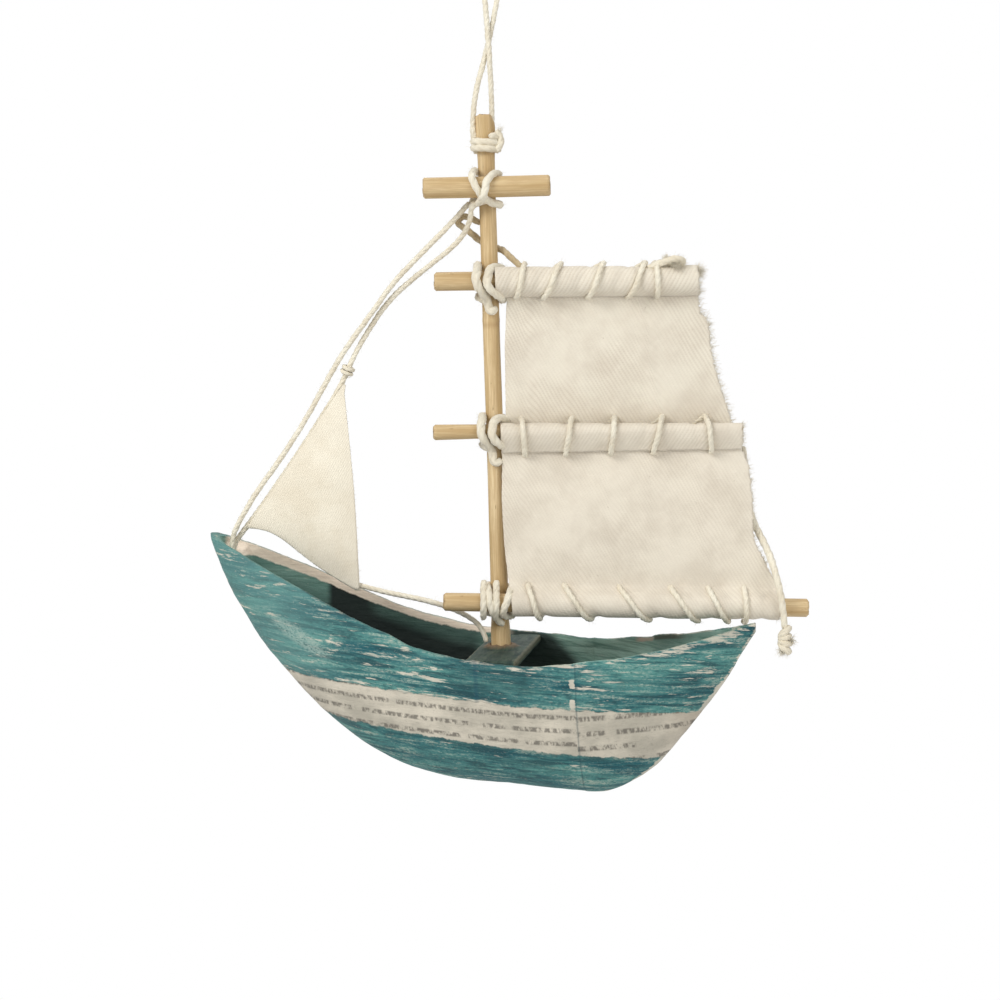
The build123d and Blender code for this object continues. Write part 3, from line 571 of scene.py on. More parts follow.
class Heap:
    """Tubes and fibres gathered into one mesh."""

    def __init__(self):
        self.points, self.faces, self.uvs = [], [], []

    def tube(self, line, radii, sides, closed=True):
        start = len(self.points)
        walked = 0.0
        for i, (place, (side, up)) in enumerate(zip(line, frames(line))):
            walked += (line[i] - line[i - 1]).length / MM if i else 0
            for k in range(sides):
                angle = 2 * pi * k / sides
                self.points.append(place + (side * cos(angle) + up * sin(angle)) * radii[i])
                self.uvs.append((angle * radii[i] / MM, walked))
        self.faces += ring_faces(len(line), sides, start)
        if closed:
            self.faces.append(tuple(reversed(range(start, start + sides))))
            last = start + (len(line) - 1) * sides
            self.faces.append(tuple(range(last, last + sides)))

    def twisted(self, line, dia, seed=0.0):
        """A cord of three plies laid round the line."""
        line = even(line, 0.3 * MM)
        across = frames(line)
        total = length_of(line)
        for ply in range(PLIES):
            walked = 0.0
            wound, radii = [], []
            for i, (place, (side, up)) in enumerate(zip(line, across)):
                walked += (line[i] - line[i - 1]).length if i else 0
                turn = 2 * pi * (walked / (PLY_LAY * dia * MM) + ply / PLIES) + seed
                loose = 1 + 0.1 * bumps(walked / MM * 0.35, seed * 3.1 + ply)
                wound.append(place + (side * cos(turn) + up * sin(turn)) * PLY_OFF * dia * MM * loose)
                near_end = min(walked, total - walked) / (0.5 * dia * MM)
                radii.append(PLY_RADIUS * dia * MM * (0.6 + 0.4 * min(near_end, 1)) * loose)
            self.tube(wound, radii, 6)

    def hair(self, start, lean, length, curl, width, rng, parts=4):
        """One loose fibre that leans out and curls."""
        line, place, way = [start], start.copy(), lean.normalized()
        for _ in range(parts):
            way = (way + jitter(rng, curl)).normalized()
            place = place + way * (length / parts)
            line.append(place.copy())
        self.tube(line, [width * (1 - 0.5 * i / parts) for i in range(parts + 1)], 3, closed=False)

    def fuzz(self, line, dia, per_mm, rng):
        """Fine hairs along a cord."""
        line = even(line, 1.0 * MM)
        for place, (side, up) in zip(line, frames(line)):
            for _ in range(int(per_mm) + (rng.random() < per_mm % 1)):
                angle = rng.uniform(0, 2 * pi)
                out = side * cos(angle) + up * sin(angle)
                shift = jitter(rng, 0.5)
                start = place + (out * dia * 0.47 + shift * 0.4) * MM
                self.hair(start, out + shift * 1.2, rng.uniform(0.35, 1.1) * MM, 0.7, 0.014 * MM, rng, 3)

    def brush(self, place, way, count, length, spread, rng):
        """A frayed end: many fibres that fan out."""
        for _ in range(count):
            start = place + jitter(rng, 0.5) * MM
            lean = way.normalized() + jitter(rng, spread)
            self.hair(start, lean, rng.uniform(0.4, 1.0) * length, 0.35, 0.03 * MM, rng, 5)

    def turn(self, centre, dia, seed, offset, start=0.0):
        """One turn of cord in a knot. offset gives the place from the centre for an angle, in millimetres."""
        angles = [2 * pi * k / 12 + start for k in range(14)]
        self.twisted([centre + Vector(offset(angle)) * MM for angle in angles], dia, seed)

    def made(self, name, material, slot="cord", replaces=()):
        return piece(name, self.points, self.faces, material, replaces, self.uvs)


# Free cords, on the same routes as their tubes
def cord_piece(name, route, dia):
    rng = random.Random(name)
    line = spline_line(route)
    heap = Heap()
    heap.twisted(line, dia, seed=rng.uniform(0, 6))
    made = heap.made(name + "_twist", COTTON, replaces=(name,))
    length_of(line)
    hairs = Heap()
    hairs.fuzz(line, dia, 3.5, rng)
    hairs.made(name + "_fuzz", COTTON)


LOOP_TOP = HANG_HEIGHT + CORD_DIA / 2
HEAD_TURNS_LOW = MAST_HEIGHT - 6.9
HEAD_PITCH = 1.22
HANGER_LOW = HEAD_TURNS_LOW + 2.15 * HEAD_PITCH + CORD_DIA
hanger_route = [
    (-2.45, -0.2, HANGER_LOW), (-2.5, 0, HANGER_LOW + 5.5), (0.55, 0.62, LOOP_TOP - 22.9),
    (3.1, 0.3, LOOP_TOP - 13), (4.2, 0, LOOP_TOP - 5.7), (4.3, 0, LOOP_TOP), (-0.3, 0, LOOP_TOP),
    (0.1, 0, LOOP_TOP - 5.7), (0.75, -0.3, LOOP_TOP - 13), (1.3, -0.62, LOOP_TOP - 22.9),
    (1.2, 0.9, HANGER_LOW + 9.5), (1.0, 2.5, HANGER_LOW + 4.4), (0.9, 2.42, HANGER_LOW),
]
cord_piece("hanger_cord", [at(*p) for p in hanger_route], CORD_DIA)

outer_route = [
    (-3.4, -1.7, 88.0), (-6.3, -1.2, 85.0), (-13.1, -0.5, 78.9), (-19.6, -0.5, 72.8),
    (-23.4, -0.7, 67.7), (-30.0, -0.2, 59.7), (-33.7, 0, 54.0), (-38.8, 0, 45.5), (-44.8, 0, 37.1),
    (-49.4, 0, 31.5), (-53.2, -0.3, 25.5), (-54.9, -0.62, 22.2), (-55.0, -0.62, 18.5),
]
cord_piece("forestay_outer", [at(*p) for p in outer_route], CORD_DIA)

inner_route = [
    (-2.9, -2.9, 86.7), (-3.0, -2.2, 84.5), (-6.2, 0.3, 80.2), (-14.1, 0.5, 74.7), (-20.8, 0.6, 69.4),
    (-25.5, 0.7, 63.0), (-28.6, 0.8, 58.0), (-31.2, 0.95, 52.5), (-36.9, 0.95, 44.2),
    (-43.4, 0.95, 35.3), (-49.4, 0.95, 27.4), (-53.2, 0.8, 22.8), (-54.9, 0.62, 20.7),
    (-55.0, 0.62, 18.5),
]
cord_piece("forestay_inner", [at(*p) for p in inner_route], CORD_DIA)

JIB_HEAD = (-30.6, 52.8)
JIB_TACK = (-51.9, 23.9)
JIB_CLEW = (-28.7, 11.4)
sheet_route = [
    (JIB_CLEW[0] - 1.0, 0.9, JIB_CLEW[1] + 0.7), (-24.0, 0.4, 10.5), (-18.2, -0.5, 9.6),
    (-11.6, -1.6, 8.2), (-6.5, -1.2, 5.9), (-3.4, -0.8, 3.2), (-2.85, -0.7, 0.4),
]
cord_piece("jib_sheet", [at(*p) for p in sheet_route], CORD_DIA)

tail_route = [
    (49.4, -1.45, 38.2), (49.6, -1.25, 33.0), (49.9, -1.1, 27.5), (51.5, -0.8, 22.2),
    (53.7, -3.2, 17.6), (54.6, -6.4, 13.8), (55.4, -7.9, 9.4), (56.0, -7.9, 5.6), (56.2, -7.4, 2.3),
]
tail_rng = random.Random(5)
knot_heap = Heap()
knot_centre = rig(56.2, -7.4, -0.4)
for loop in range(4):
    high, tilt = 1.1 * (loop - 1.2), 0.5 * (loop - 1.5)
    knot_heap.turn(knot_centre, 1.45, loop, lambda a: (0.85 * cos(a), 0.8 * sin(a), high + tilt * cos(a)), loop)
knot_heap.brush(knot_centre + Vector((-0.3, 0, -1.2)) * MM, Vector((-0.1, 0, -1)), 220, 2.2 * MM, 0.8, tail_rng)
knot_heap.brush(knot_centre + Vector((0.9, 0, 0.2)) * MM, Vector((1, -0.2, -0.2)), 140, 1.6 * MM, 0.9, tail_rng)
leech_knot = knot_heap.made("leech_knot_wound", COTTON, replaces=("leech_knot",))
cord_piece("leech_tail", [rig(*p) for p in tail_route], TAIL_DIA)


# Lashings and lacings
LASHING_DIA = 1.6
CORD_GAP = 0.1
CLOSE_GAP = 0.08
MAST_FRONT = -(MAST_RADIUS + CORD_GAP + LASHING_DIA / 2)
ROUND_BELOW = (-20, 15, 50, 90, 130, 165, 200)


def round_spar(spar, x, angle, extra, centre):
    """A place on a cord's line over a hem, at an angle up from the yard's front."""
    reach = spar[2] / 2 + extra + CLOSE_GAP + CORD_DIA / 2
    return rig(x, spar_y(spar[2]) - reach * cos(radians(angle)), centre + reach * sin(radians(angle)))


def round_mast(angle, height, extra):
    reach = MAST_RADIUS + CLOSE_GAP + CORD_DIA / 2 + extra
    return rig(reach * cos(radians(angle)), reach * sin(radians(angle)), height)


def held_cord(name, points, seed, dia=CORD_DIA, material=COTTON, fuzz=3.0, frayed=None, links=()):
    """A lashing or lacing: twisted cord close along its corners, with its fuzz. links are its short ends."""
    rng = random.Random(seed)
    line = spline_line(points, 8)
    heap = Heap()
    heap.twisted(line, dia, seed=rng.uniform(0, 6))
    for link in links:
        heap.twisted(spline_line(link, 8), 0.92 * dia, seed=rng.uniform(0, 6))
    if frayed:
        heap.brush(*frayed, 40, 1.6 * MM, 0.8, rng)
    heap.made(name + "_twist", material, replaces=(name,))
    hairs = Heap()
    hairs.fuzz(line, dia, fuzz, rng)
    hairs.made(name + "_fuzz", material)


def on_front(spar, x, z, extra=0.0):
    """A place on the cord's line over a yard's front: x from the mast, z from the yard's centre."""
    reach = spar[2] / 2 + CORD_GAP + LASHING_DIA / 2 + extra
    if abs(z) < reach:
        y = spar_y(spar[2]) - sqrt(reach ** 2 - z ** 2)
    else:
        y = min(spar_y(spar[2]) + 0.9 * (abs(z) - reach), MAST_FRONT) - extra
    return rig(x, y, spar_z(spar, x) + z)


def behind(spar, height, angles):
    """Part of a turn round the mast, its height from the yard's centre."""
    return [round_mast(angle, spar[0] + height + 0.004 * (angle - 90), 0.08) for angle in angles]


def cross_lashing(name, spar, seed, start, up, down, end, links=(), dia=LASHING_DIA):
    """A cord that comes up over the yard's front, round behind the mast, and down over the front again."""
    top = spar[2] / 2 + CORD_DIA * 0.8
    points = start + [on_front(spar, *p) for p in up]
    points += behind(spar, top, (200, 165, 130, 90, 50, 15, -20))
    points += [on_front(spar, *p) for p in down]
    held_cord(name, points + end, seed, dia, links=links)


under_top = -(TOP_YARD[2] / 2 + 1.0)
stay_links = (
    [rig(*p) for p in ((-3.35, -1.1, 87.9), (-2.9, -0.7, 88.5), (-2.35, -0.1, 89.0), (-2.1, 0.8, 89.2))],
    [rig(*p) for p in ((-3.4, -2.3, 86.5), (-3.1, -2.7, 87.3), (-2.3, -3.1, 87.9), (-1.2, -3.3, 88.2),
                       (-0.4, -3.5, 88.0))],
)
cross_lashing("top_yard_lashing", TOP_YARD, 11, behind(TOP_YARD, under_top, (90, 50, 15, -20)),
              [(2.4, -3.4), (0.5, -3.2), (-1.5, -1.5), (-2.9, 1.0), (-3.0, 2.6)],
              [(1.2, 2.6), (-0.3, 1.0), (-0.6, -1.0, 0.5), (-1.1, -2.2, 0.7), (-1.9, -3.2)],
              behind(TOP_YARD, under_top, (205, 170, 130, 95)), stay_links)


def lower_turns(spar, low):
    """The cord's start, in a small loop on the mast's front, and its end, round behind the mast."""
    loop = [(0.9, 0.2, 0.6), (0.6, -0.3, 0.0), (-0.4, -0.1, 0.1), (-0.5, 0.0, 1.1)]
    start = [rig(x, MAST_FRONT + y, spar[0] + low + z) for x, y, z in loop]
    end = behind(spar, -(spar[2] / 2 + 1.5), ROUND_BELOW)
    return start, end + [rig(-1.3, MAST_FRONT, spar[0] - spar[2] / 2 - 1.9)]


for lashed, yard, lash_seed, low_end in (("upper_yard_lashing", UPPER_YARD, 12, -5.9),
                                         ("middle_yard_lashing", MIDDLE_YARD, 13, -6.3)):
    lash_start, lash_end = lower_turns(yard, low_end)
    cross_lashing(lashed, yard, lash_seed, lash_start,
                  [(-0.9, -3.2), (-2.2, -1.6), (-2.9, 0.0), (-2.7, 1.6), (-2.4, 2.7)],
                  [(0.5, 2.8), (-0.4, 1.5), (-0.7, 0.0), (-0.5, -1.2, 0.3), (0.7, -2.4, 0.4), (1.9, -3.0)],
                  lash_end, dia=1.85)
cross_lashing("boom_lashing", BOOM, 14, [on_front(BOOM, 0.6, -4.6), on_front(BOOM, -0.4, -3.9)],
              [(-1.2, -2.5), (-1.8, -1.0), (-2.1, 0.8), (-2.3, 2.5)],
              [(2.1, 2.5), (1.5, 0.9), (0.7, -0.9), (0.2, -2.5)],
              behind(BOOM, -(BOOM[2] / 2 + 1.0), ROUND_BELOW + (235, 262)),
              [[on_front(BOOM, x + 0.05 * z, z) for z in (4.2, 3.0, 1.6, 0.0, -1.4, -2.6, -3.3)]
               for x in (-3.3, -0.8)])

head_points = [round_mast(-36 * i, HEAD_TURNS_LOW + HEAD_PITCH * i / 10, 0.12) for i in range(23)]
head_links = (
    [at(x, -0.2, HANGER_LOW + z) for x, z in ((-2.45, 0.9), (-2.4, -0.6), (-2.1, -2.4))] + [at(-2.0, -0.2, 97.6)],
    [at(x, y, HANGER_LOW + z) for x, y, z in ((0.9, 2.42, 0.9), (0.9, 2.4, -0.6), (0.8, 2.1, -2.4))]
    + [at(0.8, 2.0, 97.6)],
    [rig(*p) for p in ((1.9, -2.2, 98.0), (2.7, -1.9, 98.7), (3.0, -1.5, 99.9), (2.7, -1.2, 101.1),
                       (2.0, -1.2, 101.9))],
)
held_cord("masthead_lashing", head_points, 15, LASHING_DIA, links=head_links,
          frayed=(rig(2.5, -1.5, 101.6), Vector((0.8, -0.3, 0.8))))

hitch_points = [
    (6.6, -3.0, 74.9), (5.6, -2.3, 75.7), (4.3, -0.6, 77.0), (2.9, 1.4, 78.6), (0.7, 2.7, 79.3),
    (-1.8, 2.5, 80.6), (-3.9, 1.8, 82.6), (-6.6, 1.5, 84.4), (-4.2, 1.8, 86.0), (-1.6, 2.5, 84.0),
]
# The hitch is drawn in the darker cotton, as painted shade behind the mast.
held_cord("stay_hitch", [rig(*p) for p in hitch_points], 16, 1.4, PAINTED_SHADE_COTTON, fuzz=2.0)


# Sails
UPPER_STITCHES = [(6.9, 4.9), (14.1, 10.2), (22.5, 19.0), (30.7, 26.9), (32.6, 32.8)]
MIDDLE_STITCHES = [(5.3, 5.8), (15.4, 13.9), (23.9, 22.8), (33.4, 31.3), (41.9, 42.8)]
LOWER_STITCHES = [(5.6, 8.0), (12.9, 18.3), (23.7, 30.0), (34.0, 39.7), (41.5, 45.7), (48.8, 48.8)]
CLOTH = 0.5
THIN_CLOTH = 0.35


def rounded(path):
    """A path with its corners cut, ends kept."""
    out = [path[0]]
    for a, b in zip(path, path[1:]):
        out.append(tuple(0.75 * p + 0.25 * q for p, q in zip(a, b)))
        out.append(tuple(0.25 * p + 0.75 * q for p, q in zip(a, b)))
    return out + [path[-1]]


def spaced(path, count):
    """The path with count + 1 points at even distances, and its length."""
    spans = [hypot(b[0] - a[0], b[1] - a[1]) for a, b in zip(path, path[1:])]
    out = []
    for i, t in steps_along(spans, count):
        out.append(tuple(p * (1 - t) + q * t for p, q in zip(path[i], path[i + 1])))
    return out, sum(spans)


def stitch_pull(stitches, x, down):
    """How much the nearest stitch draws the cloth in at x. down is 0 at the hem's top and 1 at its foot."""
    return max(exp(-((x - top - (foot - top) * down) / 0.95) ** 2) for top, foot in stitches)


def round_hem(y, z, reach, angle):
    """A place round a yard at (y, z), at an angle up from its front."""
    return y - reach * cos(radians(angle)), z + reach * sin(radians(angle))


def part_of(turn, angle):
    """How far down a hem's stitch runs at an angle, 0 to 1, for a stitch that covers a turn."""
    return min(max((90 - angle) / turn, 0), 1)


def cloth_piece(name, rows, walked, stations, node, material, thickness):
    """A cloth from rows of points of the same count, with its thickness in millimetres."""
    count = len(rows[0])
    faces = []
    for i in range(len(rows) - 1):
        for a in range(i * count, (i + 1) * count - 1):
            faces.append((a, a + count, a + count + 1, a + 1))
    uvs = [pair for along, down in zip(stations, walked) for pair in zip(along, down)]
    made = piece(name, [p for row in rows for p in row], faces, material, (node,), uvs)
    thick = made.modifiers.new("thickness", "SOLIDIFY")
    thick.thickness = thickness * MM
    thick.offset = 0
    return made


def fray(name, edge, out, seed, per_mm, longest):
    """Loose threads along a cut edge, a few of them longer. out points away from the cloth."""
    rng = random.Random(seed)
    heap = Heap()
    for place, nxt in zip(edge, edge[1:]):
        span = (nxt - place).length / MM
        for _ in range(max(int(per_mm * span), 1)):
            start = place.lerp(nxt, rng.random()) + jitter(rng, 0.15) * MM
            lean = out + jitter(rng, 0.5)
            length = (0.25 + longest * rng.random() ** 2.5) * MM
            heap.hair(start - out * 0.2 * MM, lean, length, 0.5, rng.uniform(0.02, 0.05) * MM, rng, 4)
    return heap.made(name, COTTON, "sail_cloth")


def knots_between(knots, value):
    """Straight runs between (value, result) pairs."""
    for (a, ra), (b, rb) in zip(knots, knots[1:]):
        if value <= b:
            return ra + (rb - ra) * min(max((value - a) / (b - a), 0), 1)
    return knots[-1][1]


def sail(node, steps, count, path_at, edges_at, fray_with, material):
    """A sail with hems, as steps + 1 rows of count + 1 points. path_at gives a row's path (y, z) and edges_at
    the cloth's edges there. fray_with is the lift of the loose threads, and their seed, count and length."""
    rows, walked, stations = [], [], []
    for i in range(steps + 1):
        share = i / steps
        path, total = spaced(rounded(path_at(share)), count)
        own = []
        for low, high in [edges_at(share, y, z) for y, z in path]:
            own.append(low + (high - low) * share)
        rows.append([rig(x, y, z) for x, (y, z) in zip(own, path)])
        walked.append([total * k / count for k in range(count + 1)])
        stations.append(own)
    length = sum(w[-1] for w in walked) / len(walked)
    lift, *numbers = fray_with
    outward = Vector((cos(SWING), sin(SWING), lift))
    threads = fray(node.replace("sail", "leech_threads"), rows[-1], outward, *numbers)
    mean_width = sum((b - a).length for a, b in zip(rows[0], rows[-1])) / (count + 1) / MM
    made = cloth_piece(node + "_cloth", rows, walked, stations, node, material, CLOTH)
    length * MM
    mean_width * length * MM * MM


# Edges of the sails, as pairs of height and distance from the mast
UPPER_LEECH = [(42.5, 47.4), (44.0, 47.1), (50.7, 45.0), (57.7, 43.3), (62.5, 43.0), (64.2, 42.3), (65.2, 41.2),
               (69.5, 40.9), (76, 40.6)]
UPPER_LUFF = [(42.5, 2.2), (46, 2.3), (60, 2.5), (70, 3.2), (76, 2.6)]
LOWER_LEECH = [(2, 55.2), (8.3, 56.0), (11, 55.0), (16, 52.7), (18.5, 51.4), (20.2, 50.9), (27.7, 50.9),
               (34.5, 50.3), (38.0, 49.0), (46, 49.0)]
LOWER_LUFF = [(2, 2.35), (6, 2.5), (12, 1.9), (20, 1.2), (29, 0.95), (38, 1.3), (40, 1.1), (46, 1.1)]
UPPER_SLACK, MIDDLE_SLACK, LOWER_SLACK = 0.25, 0.1, 0.2
upper_y, middle_y, boom_y = spar_y(UPPER_YARD[2]), spar_y(MIDDLE_YARD[2]), spar_y(BOOM[2])


def upper_row(share):
    """From the flap's end inside the top roll, round the yard and down to the middle yard."""
    x = 2.3 + share * 43
    zc = spar_z(UPPER_YARD, min(x, 41))
    radius = UPPER_YARD[2] / 2 + FIT + UPPER_SLACK + CLOTH / 2 + 0.14 * bumps(x * 0.22, 3.0) + 0.1
    path = [(upper_y + 0.75, zc - 3.0), (upper_y + 0.25, zc - 2.75)]
    for angle in range(-62, 236, 14):
        reach = radius - 0.28 * stitch_pull(UPPER_STITCHES, x, part_of(150, angle))
        path.append(round_hem(upper_y, zc, reach, angle))
    path += [(upper_y + 1.25, zc - 2.9), (upper_y + 1.3, zc - 5)]
    top_y, foot_y = upper_y + 1.3, middle_y + MIDDLE_YARD[2] / 2 + FIT + 1.23
    foot_z = spar_z(MIDDLE_YARD, x) - 1.0
    for part in range(1, 12):
        t = part / 11
        z = zc - 5 + (foot_z - zc + 5) * t
        billow = 0.55 * sin(pi * t) * sin(pi * min(max((x - 2) / 42, 0), 1))
        wave = 0.28 * bumps(x * 0.09, z * 0.06, 1.0) + 0.1 * bumps(x * 0.3, z * 0.1, 4.0)
        wave += 0.28 * exp(-((zc - 3 - z) / 4.5) ** 2) * (stitch_pull(UPPER_STITCHES, x, 1.0) - 0.3)
        path.append((top_y + (foot_y - top_y) * t - billow + wave * min(1, 6 * t * (1.05 - t)), z))
    return path


def upper_edges(share, y, z):
    low = knots_between(UPPER_LUFF, z) + 0.12 * bumps(z * 0.8, 9.0)
    if z > spar_z(UPPER_YARD, min(2.3 + share * 43, 41)) - 3.2:
        low = 0.9 + 2.2 * smooth(upper_y - 0.2, upper_y + 1.0, y)
    return low, knots_between(UPPER_LEECH, z) + 0.34 * (bumps(z * 1.3, 2.0) + bumps(z * 2.9, 5.0))


def hem_reach(x, angle):
    """From the middle yard's centre to the cloth over it: close over the tapering top, full in front."""
    thick, fore, aft = MIDDLE_YARD[2:]
    close = (thick + (MIDDLE_TIP - thick) * (x + fore) / (fore + aft)) / 2 + FIT
    full = thick / 2 + FIT + MIDDLE_SLACK + CLOTH / 2 - 0.34 * smooth(20, 50, x)
    return full + (close - full) * smooth(5, 75, angle)


def lower_row(share):
    """From the flap below the middle fold, over its yard, down, and round the boom."""
    x = 1.9 + share * 50
    zc, zb = spar_z(MIDDLE_YARD, min(x, 49.5)), spar_z(BOOM, x)
    flap = 0.25 * stitch_pull(MIDDLE_STITCHES, x, 1.0)
    path = [(middle_y + 0.28, zc - 4.15 + 0.15 * bumps(x * 0.5, 4.0)), (middle_y - 0.35 + flap, zc - 3.3),
            (middle_y - 1.3 + flap, zc - 1.9)]
    for angle in range(-10, 201, 21):
        reach = hem_reach(x, angle) - 0.25 * stitch_pull(MIDDLE_STITCHES, x, part_of(150, angle))
        path.append(round_hem(middle_y, zc, reach + 0.08 * bumps(x * 0.25, 8.0), angle))
    path += [(middle_y + 1.6, zc - 2.0), (middle_y + 1.0, zc - 3.6), (middle_y + 0.92, zc - 5.5)]
    top_y, foot_y = middle_y + 0.92, boom_y + 0.45
    for part in range(1, 11):
        t = part / 11
        z = zc - 5.5 + (zb + 5.4 - zc + 5.5) * t
        billow = 0.5 * sin(pi * t) * sin(pi * min(max((x - 2) / 50, 0), 1))
        wave = 0.35 * bumps(x * 0.07, z * 0.07, 3.0) + 0.1 * bumps(x * 0.28, z * 0.1, 6.0)
        path.append((top_y + (foot_y - top_y) * t - billow + wave * min(1, 6 * t * (1.05 - t)), z))
    pull = stitch_pull(LOWER_STITCHES, x, 0.0)
    path += [(boom_y + 0.5 + 0.25 * pull, zb + 4.3), (boom_y + 0.35 + 0.35 * pull, zb + 3.35)]
    radius = BOOM[2] / 2 + FIT + LOWER_SLACK + CLOTH / 2 + 0.1 + 0.12 * bumps(x * 0.2, 12.0)
    for angle in range(62, -226, -16):
        reach = radius - 0.28 * stitch_pull(LOWER_STITCHES, x, part_of(180, angle))
        path.append(round_hem(boom_y, zb, reach, angle))
    return path + [(boom_y + 1.35, zb + 3.2), (boom_y + 1.25, zb + 4.0)]


def lower_edges(_share, _y, z):
    low = knots_between(LOWER_LUFF, z) + 0.12 * bumps(z * 0.9, 19.0)
    return low, knots_between(LOWER_LEECH, z) + 0.26 * (bumps(z * 1.1, 12.0) + bumps(z * 2.9, 15.0))


sail("upper_sail", 110, 96, upper_row, upper_edges, (0.1, 21, 30, 1.7), TWILL)
sail("lower_sail", 120, 130, lower_row, lower_edges, (0.0, 22, 24, 1.2), FADED_TWILL)


def lacing(name, spar, stitches, extra, top, foot, seed, angles=(60, 30, 0, -30, -60)):
    """Cord over the hem's front on each stitch, and through the cloth and up behind it to the next.
    top and foot are a place in front of the cloth, one behind it and their height, from the yard's centre."""
    y = spar_y(spar[2])
    points = []
    for start, end in stitches:
        centre = spar_z(spar, (start + end) / 2)
        points += [rig(start, y + top[1], centre + top[2]), rig(start, y + top[0], centre + top[2])]
        for k, angle in enumerate(angles, 1):
            points.append(round_spar(spar, start + (end - start) * k / (len(angles) + 1), angle, extra, centre))
        points += [rig(end, y + foot[0], centre + foot[2]), rig(end, y + foot[1], centre + foot[2])]
    held_cord(name, points, seed)


lacing("upper_lacing", UPPER_YARD, UPPER_STITCHES, FIT + UPPER_SLACK + 0.35, (0.4, 3.2, 3.3), (0.4, 3.2, -3.4), 31)

middle_points = []
for start_x, end_x in MIDDLE_STITCHES:
    middle_z = spar_z(MIDDLE_YARD, (start_x + end_x) / 2)
    run = end_x - start_x
    middle_points += [rig(start_x, middle_y + 3.0, middle_z + 2.2), rig(start_x, middle_y + 1.0, middle_z + 2.4)]
    for k, angle in enumerate((80, 50, 15, -20), 1):
        x = start_x + run * k / 7
        over = round_hem(middle_y, middle_z, hem_reach(x, angle) + 0.3 + CORD_DIA / 2, angle)
        middle_points.append(rig(x, *over))
    for share, y, z in ((0.8, -1.75, -2.6), (1.0, -0.75, -4.2), (1.0, 0.4, -5.0), (1.0, 3.2, -4.2)):
        middle_points.append(rig(start_x + run * share, middle_y + y, middle_z + z))
held_cord("middle_lacing", middle_points, 32)

lacing("lower_lacing", BOOM, LOWER_STITCHES, FIT + LOWER_SLACK + 0.35, (0.0, 3.2, 3.9), (0.6, 3.2, -3.3), 33,
       (50, 20, -10, -40, -70))


# Jib: a thin triangle that bellies a little. Its rows run from the luff to the foot, and then to the leech
JIB_TURN = 0.42


def between(a, b, t):
    return a[0] + (b[0] - a[0]) * t, a[1] + (b[1] - a[1]) * t


def jib_far(t):
    """The place on the foot or the leech that lies opposite a share of the luff."""
    corner = (JIB_CLEW[0], JIB_CLEW[1] - 0.9)
    if t == 1:
        return JIB_HEAD[0] + 0.5, JIB_HEAD[1] - 0.2
    if t < JIB_TURN:
        x, z = between((JIB_TACK[0] + 5.6, JIB_TACK[1] - 0.4), corner, t / JIB_TURN)
        return x, z - 0.9 * sin(pi * t / JIB_TURN)
    u = (t - JIB_TURN) / (1 - JIB_TURN)
    x, z = between(corner, JIB_HEAD, u)
    return x + 0.45 * sin(pi * u), z


def jib():
    rows, walked, stations = [], [], []
    for t in [i / 40 for i in range(41)]:
        places = [between(between(JIB_TACK, JIB_HEAD, t), jib_far(t), k / 30) for k in range(31)]
        row = []
        for k, (x, z) in enumerate(places):
            belly = -0.9 * sin(pi * k / 30) * sin(pi * min(t * 1.1, 1)) + 0.25 * bumps(x * 0.12, z * 0.12, 2.0)
            row.append(at(x, belly, z))
        rows.append(row)
        walked.append([z for x, z in places])
        stations.append([x for x, z in places])
    made = cloth_piece("jib_cloth_sheet", rows, walked, stations, "jib", JIB_CLOTH, THIN_CLOTH)
    fray("jib_threads", [row[-1] for row in rows][2:], Vector((1, 0, -0.1)), 42, 4, 0.5)


jib()

# Knots
knot_rng = random.Random(51)
head_knot = Heap()
stay_high, stay_low = at(-28.6, 0.8, 58.0), at(-31.2, 0.95, 52.5)
middle = stay_high.lerp(stay_low, 0.45)
way = (stay_low - stay_high).normalized()
side = way.orthogonal().normalized()
up = way.cross(side)
for turn in range(2):
    low = 0.9 * turn - 0.5
    head_knot.turn(middle, 0.85, turn,
                   lambda a: way * (low + 0.1 * a / (2 * pi)) + (side * cos(a) + up * sin(a)) * 1.05)
head_knot.brush(middle + way * 1.2 * MM, Vector((0.9, -0.2, 0.5)), 36, 1.7 * MM, 0.4, knot_rng)
head_knot.made("jib_head_knot_wound", COTTON, replaces=("jib_head_knot",))

roll_knot = Heap()
knot_x = 34.4
knot_middle = rig(knot_x, upper_y - 1.2, spar_z(UPPER_YARD, knot_x) + 3.1)
for turn in range(3):
    shift = turn - 1
    roll_knot.turn(knot_middle, 1.5, turn + 0.5,
                   lambda a: (2.1 * shift + 1.3 * cos(a), 0.95 * sin(a) + 0.1,
                              0.3 * shift + 0.6 * cos(a + 0.8 * turn)), turn)
roll_end = rig(40.4, upper_y - 1.2, spar_z(UPPER_YARD, 40) + 1.5)
for frayed, out, count, length, spread in (
        (knot_middle + Vector((1.6, -0.2, 0)) * MM, (1, -0.3, -0.3), 260, 3.0, 0.85),
        (knot_middle + Vector((0.2, -0.2, 0.6)) * MM, (0.2, -0.2, 1), 200, 1.3, 1.2),
        (roll_end, (1, -0.2, -0.2), 260, 2.4, 0.9)):
    roll_knot.brush(frayed, Vector(out), count, length * MM, spread, knot_rng)
roll_knot.made("upper_lacing_knot_frayed", COTTON, replaces=("upper_lacing_knot",))


